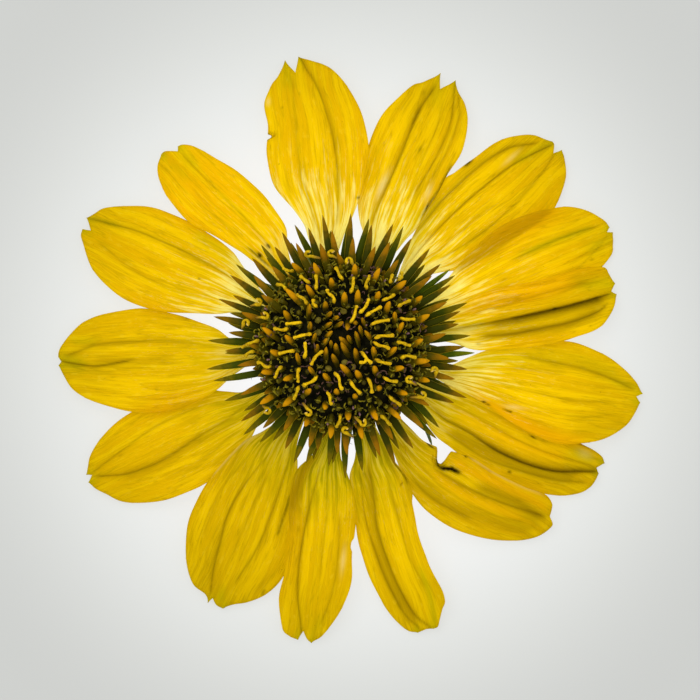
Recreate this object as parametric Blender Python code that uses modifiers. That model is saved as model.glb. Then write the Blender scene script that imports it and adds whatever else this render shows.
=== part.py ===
"""The cut head of a yellow coneflower, face up on the stub of its stem.

Fifteen ray petals, the spiny cone, and one green piece: stub, receptacle and bracts.
The petal table is in millimetres, each petal in its own flat frame: x runs from its
root to its tip, and y to the left of that line. The built model is in metres, +Z up,
with its origin on the surface that it lies on, under the middle of its box.
"""

import math
import random

import bmesh
import bpy
from mathutils import Matrix, Vector

MM = 0.001

# The whole head, in millimetres
CONE_X = -1.3
CONE_Y = 0.48
ROOT_RADIUS = 8.0
PETAL_THICKNESS = 0.6
MARGIN_LIFT = 1.1
LIFT_STARTS = 2.0
LIFT_ENDS = 10.0
GROOVE_DEPTH = 0.3
GROOVE_WIDTH = 0.16
# Height of a petal's middle at each distance from the cone's axis
SAG = ((8, 10.6), (14, 10.5), (20, 9.8), (27, 8.2), (34, 5.9), (41, 3.4), (49, 1.3))
# Distances from the root at which each petal's two edges are given
STATIONS = (0, 5, 10, 12.5, 15, 20, 25, 30)
ROWS = (0, 0.07, 0.16, 0.26, 0.35, 0.45, 0.55, 0.66, 0.77, 0.89, 1)

# root: direction of the root, and heading: direction of the root-to-tip line, in degrees.
# left and right: the edges at the stations. tip: the outline (y, x) round the end, from
# the left shoulder to the right one. lift: how far each margin, left and right, stands
# over (1) or under (-1) its neighbour. grooves: lengthwise folds, as shares of the half
# width. bite: where an insect has eaten the left edge, as (x, depth, half its length).
PETALS = {
    "petal_01": dict(
        root=96, heading=97.3, lift=(0, 1), grooves=(-0.28, 0.3),
        left=(1, 1.2, 3.6, 4.0, 5.2, 8.1, 8.6, 7.7),
        right=(-1, -1.0, -2.3, -4.0, -5.3, -7.3, -8.4, -7.9),
        tip=((7.6, 35), (6.0, 37), (4.6, 38.6), (3.4, 40.3), (2.1, 38.5), (1.2, 40.7),
             (-0.5, 40.0), (-2.8, 39.0), (-4.4, 37.6), (-6.1, 35))),
    "petal_02": dict(
        root=73, heading=67.7, lift=(-1, 0.4), grooves=(0.3, -0.5),
        left=(1, 1.2, 2.6, 4.4, 5.6, 6.9, 8.1, 7.9),
        right=(-1, -1.0, -2.6, -3.6, -4.4, -5.0, -5.9, -6.7),
        tip=((6.0, 35), (4.9, 37), (3.2, 38.4), (1.5, 40.1), (0.3, 38.0), (-1.3, 40.1),
             (-2.2, 39.0), (-3.2, 38.2), (-4.4, 37.0), (-5.8, 35))),
    "petal_03": dict(
        root=44, heading=42.2, lift=(-0.6, -1), grooves=(0.42, -0.2),
        left=(1, 1.6, 4.0, 5.2, 6.0, 7.7, 8.8, 8.3),
        right=(-1, -0.8, -0.4, -1.6, -3.7, -5.2, -6.5, -7.6),
        tip=((7.2, 35), (6.2, 37), (4.4, 39), (1.7, 40.9), (1.1, 40.8), (0.1, 39.6),
             (-0.4, 40.9), (-1.8, 40.5), (-4.3, 38.4), (-6.4, 35))),
    "petal_04": dict(
        root=27, heading=22.7, lift=(1, -1), grooves=(0.28, -0.45),
        left=(1, 1.2, 2.2, 3.2, 4.6, 6.7, 7.8, 7.7),
        right=(-1, -1.2, -2.6, -3.6, -4.4, -5.6, -6.2, -6.2),
        tip=((6.8, 35), (5.6, 37.5), (4.0, 39), (2.0, 40.3), (0.6, 40.8), (0.0, 40.2),
             (-0.4, 41), (-2.2, 40.3), (-4.0, 39), (-5.8, 35))),
    "petal_05": dict(
        root=10, heading=12.0, lift=(1, 1), grooves=(-0.05, 0.45),
        left=(1, 1.2, 2.4, 3.2, 3.9, 4.3, 4.3, 4.6),
        right=(-1, -1.0, -2.4, -4.2, -5.1, -5.9, -6.3, -6.2),
        tip=((4.9, 35), (4.2, 36.8), (3.0, 37.9), (1.2, 38.6), (0.1, 37.6), (-0.6, 38.4),
             (-2.0, 37.9), (-3.2, 36.9), (-4.2, 36), (-5.1, 35))),
    "petal_06": dict(
        root=-9, heading=-9.0, lift=(-1, 1), grooves=(0.42, -0.15),
        left=(1, 0.6, 0.6, 1.8, 3.2, 5.2, 6.4, 6.8),
        right=(-1, -1.2, -2.6, -3.5, -4.7, -7.2, -9.2, -10.1),
        tip=((5.3, 35), (3.8, 39), (1.9, 41.2), (0.1, 42.5), (-0.5, 41.3), (-1.4, 42.4),
             (-3.2, 42), (-5.6, 40.8), (-8.0, 37.7), (-9.4, 35))),
    "petal_07": dict(
        root=-30, heading=-22.6, lift=(-1, -1), grooves=(-0.2, 0.3),
        left=(1, 1.0, 1.8, 2.2, 2.6, 2.2, 1.8, 1.2),
        right=(-1, -1.4, -4.6, -6.1, -7.5, -8.6, -9.1, -9.0),
        tip=((1.1, 35), (1.4, 37), (0.9, 38.8), (0.0, 39.8), (-1.2, 38.6), (-2.0, 39.6),
             (-3.3, 39.5), (-4.8, 39.1), (-6.4, 37.6), (-7.8, 35))),
    "petal_08": dict(
        root=-56, heading=-35.6, lift=(1, -1), grooves=(-0.15, 0.4), bite=(16.3, 3.2, 0.9),
        rows=(0, 0.07, 0.16, 0.26, 0.36, 0.4, 0.43, 0.46, 0.5, 0.6, 0.7, 0.8, 0.9, 1),
        left=(1, -0.9, -1.8, -1.6, -0.9, 0.2, 0.6, 1.3),
        right=(-1, -3.6, -6.6, -8.3, -9.7, -10.9, -10.6, -9.3),
        tip=((2.5, 34.5), (1.9, 36), (1.0, 36.7), (0.3, 36.9), (-0.1, 37.1), (-0.8, 38.1),
             (-1.8, 38.1), (-3.2, 37.5), (-4.9, 36.5), (-6.4, 35))),
    "petal_09": dict(
        root=-75, heading=-72.1, lift=(1, -1), grooves=(-0.3, -0.62),
        left=(1, 1.4, 2.6, 3.2, 3.7, 3.8, 3.0, 3.1),
        right=(-1, -1.2, -2.6, -4.3, -5.2, -6.4, -7.1, -6.9),
        tip=((3.8, 37.6), (2.9, 38.5), (1.9, 40), (1.3, 41.2), (0.5, 41.3), (-0.6, 40.9),
             (-2.2, 41.1), (-3.6, 40.5), (-4.8, 38.9), (-6.2, 35))),
    "petal_10": dict(
        root=-98, heading=-96.5, lift=(1, 1), grooves=(-0.35, 0.3),
        left=(1, 1.4, 2.0, 3.4, 4.6, 5.6, 5.6, 6.2),
        right=(-1, -0.8, -2.4, -4.6, -5.5, -5.4, -4.9, -5.1),
        tip=((5.2, 35), (4.0, 37.5), (2.4, 40.1), (0.8, 41.4), (0.0, 41.0), (-0.8, 39.7),
             (-1.5, 41.1), (-3.0, 40.8), (-4.4, 39.3), (-5.4, 35))),
    "petal_11": dict(
        root=-125, heading=-115.2, lift=(-1, 1), grooves=(0.15, -0.3),
        left=(1, 0.6, 1.0, 2.4, 3.8, 6.2, 8.2, 8.8),
        right=(-1, -1.6, -4.3, -6.2, -7.3, -9.0, -9.7, -9.1),
        tip=((7.2, 35), (5.4, 37), (3.2, 38.6), (2.0, 39.9), (0.7, 39.9), (-0.3, 38.8),
             (-0.7, 39.9), (-1.6, 39), (-4.4, 38.3), (-7.0, 35))),
    "petal_12": dict(
        root=-149, heading=-153.3, lift=(-1, -1), grooves=(0.2, -0.25),
        left=(1, 1.4, 4.2, 6.0, 7.2, 8.9, 9.4, 8.8),
        right=(-1, -1.0, -1.2, -2.6, -4.4, -6.2, -6.9, -6.4),
        tip=((6.9, 35), (5.6, 36.7), (4.0, 38), (2.3, 39.2), (0.6, 39.8), (-0.2, 38.8),
             (-0.7, 39.5), (-1.8, 38.9), (-3.3, 37.5), (-4.9, 35))),
    "petal_13": dict(
        root=180, heading=182.0, lift=(1, -1), grooves=(0.05, -0.4),
        left=(1, 1.4, 4.0, 6.0, 7.9, 9.7, 10.1, 9.2),
        right=(-1, -0.9, -1.6, -3.5, -5.0, -6.5, -7.2, -6.9),
        tip=((7.1, 35), (5.5, 37), (3.2, 38.4), (1.8, 39.1), (1.2, 38.5), (0.4, 39.3),
             (-0.5, 39.3), (-1.6, 38.7), (-3.5, 37.1), (-5.3, 35))),
    "petal_14": dict(
        root=156, heading=154.4, lift=(1, -1), grooves=(-0.35, 0.15),
        left=(1, 1.0, 2.1, 3.4, 4.8, 6.9, 8.2, 8.0),
        right=(-1, -1.0, -3.0, -5.0, -6.8, -7.7, -7.9, -7.5),
        tip=((6.0, 35), (4.6, 36.5), (3.0, 38), (1.9, 39.1), (0.8, 39.3), (0.4, 38.1),
             (-1.2, 39.6), (-2.4, 38.8), (-3.9, 37.6), (-5.4, 35))),
    "petal_15": dict(
        root=125, heading=132.5, lift=(1, 0), grooves=(0.1, -0.35),
        left=(1, 1.2, 1.8, 2.2, 2.8, 4.3, 6.0, 5.8),
        right=(-1, -0.9, -2.8, -5.2, -6.1, -6.5, -5.9, -4.6),
        tip=((5.3, 31.5), (4.4, 33.3), (3.2, 34.8), (1.5, 36), (0.6, 35.8), (-0.8, 34.7),
             (-1.4, 35.2), (-2.1, 35), (-3.1, 33.8), (-4.2, 31.5))),
}

# The cone: its core, in millimetres from its axis, and what stands out of the core
CORE_RADIUS = 13.0
CORE_RISE = 8.2
CORE_MIDDLE = 14.4
CORE_BOTTOM = 11.2
CORE_FOOT = 7.4
SPINES = 230
SPINE_WIDTH = 1.4
SPINE_THICKNESS = 1.1
SPINE_LENGTHS = (3.4, 9.4)
LOWEST_SPINE = math.radians(99)
STYLES = 90
STYLE_WIDTH = 0.8
STYLE_SHARES = (0.03, 0.72)
GOLDEN_ANGLE = math.radians(137.508)
SUNK_ROOT = 1.6

# The green piece, in millimetres: (radius, height) from the stub's cut face to its top,
# and each row of bracts as (how many, reach, height of root, height of tip)
GREEN_PROFILE = ((2.6, 0), (2.4, 3), (2.7, 6), (4.6, 7.2), (7.4, 7.7), (8.6, 8.7),
                 (8.2, 9.8), (7.0, 10), (6.4, 10.8), (0, 10.9))
BRACT_ROWS = ((13, 17.0, 7.6, 6.2), (13, 14.5, 8.7, 8.0))
BRACT_ROOT = 5.8
BRACT_WIDTH = 3.0
BRACT_THICKNESS = 0.9

YELLOW = (0.85, 0.55, 0.01)
DARK_BROWN = (0.10, 0.06, 0.01)
GREEN = (0.10, 0.16, 0.03)


def smooth_step(value, start, end):
    share = min(max((value - start) / (end - start), 0.0), 1.0)
    return share * share * (3 - 2 * share)


def curve_through(points, at):
    """The smooth curve through (x, y) points, read at one x and held level past its ends."""
    if at <= points[0][0]:
        return points[0][1]
    if at >= points[-1][0]:
        return points[-1][1]
    i = max(k for k in range(len(points) - 1) if points[k][0] <= at)
    slopes = []
    for k in (i, i + 1):
        before = points[max(k - 1, 0)]
        after = points[min(k + 1, len(points) - 1)]
        slopes.append((after[1] - before[1]) / (after[0] - before[0]))
    (x0, y0), (x1, y1) = points[i], points[i + 1]
    width = x1 - x0
    t = (at - x0) / width
    return ((2 * t ** 3 - 3 * t ** 2 + 1) * y0 + (t ** 3 - 2 * t ** 2 + t) * width * slopes[0]
            + (3 * t ** 2 - 2 * t ** 3) * y1 + (t ** 3 - t ** 2) * width * slopes[1])


def edge_of(petal, side):
    """One edge as (x, y) points, from the root to its shoulder on the tip's outline."""
    shoulder_y, shoulder_x = petal["tip"][0 if side == "left" else -1]
    points = [(x, y) for x, y in zip(STATIONS, petal[side]) if x < shoulder_x]
    return points + [(shoulder_x, shoulder_y)]


def petal_point(petal, along, column):
    """A point of the petal's middle surface: along runs 0 to 1, column counts tip points."""
    tip = petal["tip"]
    tip_y, reach = tip[column]
    share = (tip_y - tip[-1][0]) / (tip[0][0] - tip[-1][0])
    x = along * reach
    left = curve_through(edge_of(petal, "left"), x)
    if "bite" in petal:
        middle, depth, half_length = petal["bite"]
        left -= depth * math.exp(-((x - middle) / half_length) ** 4)
    right = curve_through(edge_of(petal, "right"), x)
    y = right + share * (left - right)
    root = math.radians(petal["root"])
    heading = math.radians(petal["heading"])
    from_axis_x = ROOT_RADIUS * math.cos(root) + x * math.cos(heading) - y * math.sin(heading)
    from_axis_y = ROOT_RADIUS * math.sin(root) + x * math.sin(heading) + y * math.cos(heading)
    across = 2 * share - 1
    margin = petal["lift"][0] if across > 0 else petal["lift"][1]
    lift = margin * MARGIN_LIFT * abs(across) ** 1.3
    for groove in petal["grooves"]:
        lift -= GROOVE_DEPTH * math.exp(-((across - groove) / GROOVE_WIDTH) ** 2)
    height = curve_through(SAG, math.hypot(from_axis_x, from_axis_y))
    height += lift * smooth_step(x, LIFT_STARTS, LIFT_ENDS)
    return Vector((CONE_X + from_axis_x, CONE_Y + from_axis_y, height)) * MM


def make_petal(name, petal, material, collection):
    rows = petal.get("rows", ROWS)
    columns = len(petal["tip"])
    mesh = bpy.data.meshes.new(name)
    work = bmesh.new()
    grid = bmesh.ops.create_grid(work, x_segments=len(rows) - 1, y_segments=columns - 1, size=1)
    for vert in grid["verts"]:
        row = round((vert.co.x + 1) / 2 * (len(rows) - 1))
        column = round((1 - vert.co.y) / 2 * (columns - 1))
        vert.co = petal_point(petal, rows[row], column)
    bmesh.ops.triangulate(work, faces=work.faces)
    work.to_mesh(mesh)
    work.free()
    blade = bpy.data.objects.new(name, mesh)
    collection.objects.link(blade)
    mesh.materials.append(material)
    mesh.shade_smooth()
    solid = blade.modifiers.new("Thickness", "SOLIDIFY")
    solid.thickness = PETAL_THICKNESS * MM
    solid.offset = 0
    return blade


def turned(name, profile, steps, axis_x, axis_y, collection):
    """A solid of revolution from (radius, height) points that run from its foot to its top."""
    mesh = bpy.data.meshes.new(name)
    points = [(radius * MM, 0, height * MM) for radius, height in [(0, profile[0][1]), *profile]]
    edges = [(i, i + 1) for i in range(len(points) - 1)]
    mesh.from_pydata(points, edges, [])
    body = bpy.data.objects.new(name, mesh)
    body.location = (axis_x * MM, axis_y * MM, 0)
    collection.objects.link(body)
    screw = body.modifiers.new("Turned", "SCREW")
    screw.steps = steps
    screw.render_steps = steps
    screw.use_merge_vertices = True
    screw.merge_threshold = 0.00001
    screw.use_normal_calculate = True
    return body


def lance(name, root, tip, width, thickness, collection):
    """A pointed four-sided blade: narrow at its root, widest a third of the way up."""
    mesh = bpy.data.meshes.new(name)
    work = bmesh.new()
    length = (tip - root).length
    bmesh.ops.create_cone(work, cap_ends=True, segments=4, radius1=0.5, radius2=0,
                          depth=length, matrix=Matrix.Translation((0, 0, length / 2)))
    sides = [edge for edge in work.edges if abs(edge.verts[0].co.z - edge.verts[1].co.z) > length / 2]
    bmesh.ops.subdivide_edges(work, edges=sides, cuts=1)
    for vert in work.verts:
        if 0.1 * length < vert.co.z < 0.9 * length:
            vert.co.z = 0.45 * length
            vert.co.xy = vert.co.xy.normalized() * 0.5
        elif vert.co.z < 0.1 * length:
            vert.co.xy = vert.co.xy.normalized() * 0.36
        vert.co.x *= width
        vert.co.y *= thickness
    work.to_mesh(mesh)
    work.free()
    blade = bpy.data.objects.new(name, mesh)
    axis = (tip - root).normalized()
    side = Vector((0, 0, 1)).cross(axis)
    if side.length < 0.01:
        side = Vector((1, 0, 0))
    side.normalize()
    turn = Matrix((side, axis.cross(side), axis)).transposed()
    blade.matrix_world = Matrix.LocRotScale(root, turn.to_quaternion(), None)
    collection.objects.link(blade)
    return blade


def rod(name, root, tip, width, collection):
    mesh = bpy.data.meshes.new(name)
    work = bmesh.new()
    length = (tip - root).length
    bmesh.ops.create_cone(work, cap_ends=True, segments=5, radius1=width / 2, radius2=width / 2,
                          depth=length, matrix=Matrix.Translation((0, 0, length / 2)))
    work.to_mesh(mesh)
    work.free()
    stick = bpy.data.objects.new(name, mesh)
    turn = (tip - root).to_track_quat("Z", "Y")
    stick.matrix_world = Matrix.LocRotScale(root, turn, None)
    collection.objects.link(stick)
    return stick


def fuse(body, pieces, material, collection):
    """Joins every object of the helper collection to the body, then removes them."""
    union = body.modifiers.new("Fused", "BOOLEAN")
    union.operation = "UNION"
    union.operand_type = "COLLECTION"
    union.collection = pieces
    union.solver = "EXACT"
    bpy.context.view_layer.update()
    graph = bpy.context.evaluated_depsgraph_get()
    mesh = bpy.data.meshes.new_from_object(body.evaluated_get(graph))
    mesh.name = body.name
    mesh.materials.clear()
    mesh.materials.append(material)
    mesh.shade_smooth()
    mesh.set_sharp_from_angle(angle=math.radians(40))
    body.modifiers.clear()
    body.data = mesh
    for piece in list(pieces.objects):
        bpy.data.objects.remove(piece, do_unlink=True)
    return body


def core_point(share, turn):
    """Where a floret grows on the core, and which way: share 0 is the top and 1 the rim."""
    slope = math.acos(1 - share * (1 - math.cos(LOWEST_SPINE)))
    out = Vector((math.cos(turn), math.sin(turn), 0))
    grows = out * math.sin(slope) + Vector((0, 0, math.cos(slope) + 0.12))
    place = Vector((CONE_X, CONE_Y, CORE_MIDDLE))
    place += out * CORE_RADIUS * math.sin(slope) + Vector((0, 0, CORE_RISE * math.cos(slope)))
    return place, grows.normalized(), slope / LOWEST_SPINE


def make_cone(material, collection, helpers):
    profile = [(CORE_FOOT, CORE_BOTTOM), (CORE_RADIUS * 0.96, CORE_MIDDLE - 1.8)]
    for step in range(9):
        slope = math.radians(90 - step * 10)
        profile.append((CORE_RADIUS * math.sin(slope), CORE_MIDDLE + CORE_RISE * math.cos(slope)))
    profile.append((0, CORE_MIDDLE + CORE_RISE - 0.4))
    body = turned("cone", profile, 24, CONE_X, CONE_Y, collection)
    rng = random.Random(15)
    for i in range(SPINES):
        place, grows, slope = core_point((i + 0.5) / SPINES, i * GOLDEN_ANGLE)
        shortest, longest = SPINE_LENGTHS
        length = shortest + (longest - shortest) * slope ** 1.2 + rng.uniform(-0.4, 0.4)
        root = (place - grows * SUNK_ROOT) * MM
        tip = (place + grows * length) * MM
        lance(f"spine_{i}", root, tip, SPINE_WIDTH * MM, SPINE_THICKNESS * MM, helpers)
    for i in range(STYLES):
        first, last = STYLE_SHARES
        share = first + (last - first) * (i + 0.5) / STYLES
        place, grows, slope = core_point(share, i * GOLDEN_ANGLE + 1.0)
        lean = Vector((rng.uniform(-0.5, 0.5), rng.uniform(-0.5, 0.5), rng.uniform(-0.1, 0.3)))
        shortest, longest = SPINE_LENGTHS
        length = shortest + (longest - shortest) * slope - 0.6
        root = (place - grows * SUNK_ROOT) * MM
        tip = (place + (grows + lean).normalized() * length) * MM
        rod(f"style_{i}", root, tip, STYLE_WIDTH * MM, helpers)
    return fuse(body, helpers, material, collection)


def make_green(material, collection, helpers):
    body = turned("stem_and_bracts", GREEN_PROFILE, 20, CONE_X, CONE_Y, collection)
    for row, (count, reach, root_height, tip_height) in enumerate(BRACT_ROWS):
        for i in range(count):
            turn = 2 * math.pi * (i + row / 2) / count
            out = Vector((math.cos(turn), math.sin(turn), 0))
            axis = Vector((CONE_X, CONE_Y, 0))
            root = (axis + out * BRACT_ROOT + Vector((0, 0, root_height))) * MM
            tip = (axis + out * reach + Vector((0, 0, tip_height))) * MM
            lance(f"bract_{row}_{i}", root, tip, BRACT_WIDTH * MM, BRACT_THICKNESS * MM, helpers)
    return fuse(body, helpers, material, collection)


def plain_material(name, colour, roughness):
    material = bpy.data.materials.new(name)
    material.use_nodes = True
    shader = material.node_tree.nodes["Principled BSDF"]
    shader.inputs["Base Color"].default_value = (*colour, 1)
    shader.inputs["Roughness"].default_value = roughness
    shader.inputs["Metallic"].default_value = 0
    material.diffuse_color = (*colour, 1)
    return material


def main():
    for old in list(bpy.data.objects):
        bpy.data.objects.remove(old, do_unlink=True)
    head = bpy.data.collections.new("coneflower_head")
    helpers = bpy.data.collections.new("helpers")
    bpy.context.scene.collection.children.link(head)
    bpy.context.scene.collection.children.link(helpers)
    helpers.hide_render = True
    petal_yellow = plain_material("petal_yellow", YELLOW, 0.55)
    for name, petal in PETALS.items():
        make_petal(name, petal, petal_yellow, head)
    make_cone(plain_material("cone_brown", DARK_BROWN, 0.5), head, helpers)
    make_green(plain_material("bract_green", GREEN, 0.6), head, helpers)


main()
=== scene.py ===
"""The looks of a cut yellow coneflower head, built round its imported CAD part.

Every measure below is in millimetres in the part's own frame: +Z up through the cone,
the surface it lies on at height 0, and the picture's right and top along +X and +Y.
A petal's tables are in its own flat frame: x from its root to its tip, y to its left.
"""

import math
import random

import bpy
import numpy as np
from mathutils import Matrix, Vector


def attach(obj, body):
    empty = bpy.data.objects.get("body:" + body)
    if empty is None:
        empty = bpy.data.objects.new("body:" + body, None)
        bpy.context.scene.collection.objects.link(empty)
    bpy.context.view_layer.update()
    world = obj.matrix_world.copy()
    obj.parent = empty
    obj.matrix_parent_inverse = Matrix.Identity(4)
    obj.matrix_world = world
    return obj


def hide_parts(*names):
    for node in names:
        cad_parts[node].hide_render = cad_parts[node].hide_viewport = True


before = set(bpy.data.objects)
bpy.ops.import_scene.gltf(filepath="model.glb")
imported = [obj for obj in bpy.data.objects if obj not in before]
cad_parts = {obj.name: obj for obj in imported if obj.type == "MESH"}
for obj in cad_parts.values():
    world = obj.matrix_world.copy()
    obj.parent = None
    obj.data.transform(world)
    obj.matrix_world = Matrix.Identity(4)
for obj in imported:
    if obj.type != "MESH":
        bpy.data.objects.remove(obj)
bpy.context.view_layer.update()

MM = 0.001

# The head, with the same values as the CAD part
CONE_X = -1.3
CONE_Y = 0.48
ROOT_RADIUS = 8.0
MARGIN_LIFT = 1.1
LIFT_STARTS = 2.0
LIFT_ENDS = 10.0
GROOVE_DEPTH = 0.3
GROOVE_WIDTH = 0.16
SAG = ((8, 10.6), (14, 10.5), (20, 9.8), (27, 8.2), (34, 5.9), (41, 3.4), (49, 1.3))
STATIONS = (0, 5, 10, 12.5, 15, 20, 25, 30)

# A petal's finer form
PETAL_ROWS = 104
COLUMN_PITCH = 0.19
NICK_ROWS = 25
BLADE_THICKNESS = 0.28
MARGIN_THICKNESS = 0.08
MARGIN_SHARE = 0.06
RIBS = ((3, 0.10), (5, 0.08), (9, 0.04))
MARGIN_BEND = 1.3
DARK_MARGIN = 0.07
TOOTH_FLANK = np.array([0.75, 1.2])
# The waves of its margins: their height, how many run over its length, and where they set in
MARGIN_WAVE = 0.10
MARGIN_TURNS = (1.3, 3.1, 5.7)
FULL_LENGTH = 40
WAVE_STARTS = 6
WAVE_ENDS = 14
# A fold's depth, the width of its dark core as a share of its own, and the core's share of it
FOLD_DEPTH = 0.25
FOLD_CORE = 0.4
CORE_SHARE = 0.6
# How gently a mark starts and ends, and the green of a tooth, with its half length and half width
MARK_STARTS = 1.5
MARK_ENDS = 1.0
TOOTH_GREEN = 0.9
TOOTH_LENGTH = 1.5
TOOTH_WIDTH = 0.7
# How far the veins keep their spacing, and don't close in with the margins, the length that one
# unit of the vein pattern's place stands for, and how far each petal's pattern is from the last
LOOSE_VEINS = 0.45
PATTERN_LENGTH = 100
PATTERN_SHIFT = 0.37
# How much of a petal's light comes through it
THROUGH_SHARE = 0.68

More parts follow.
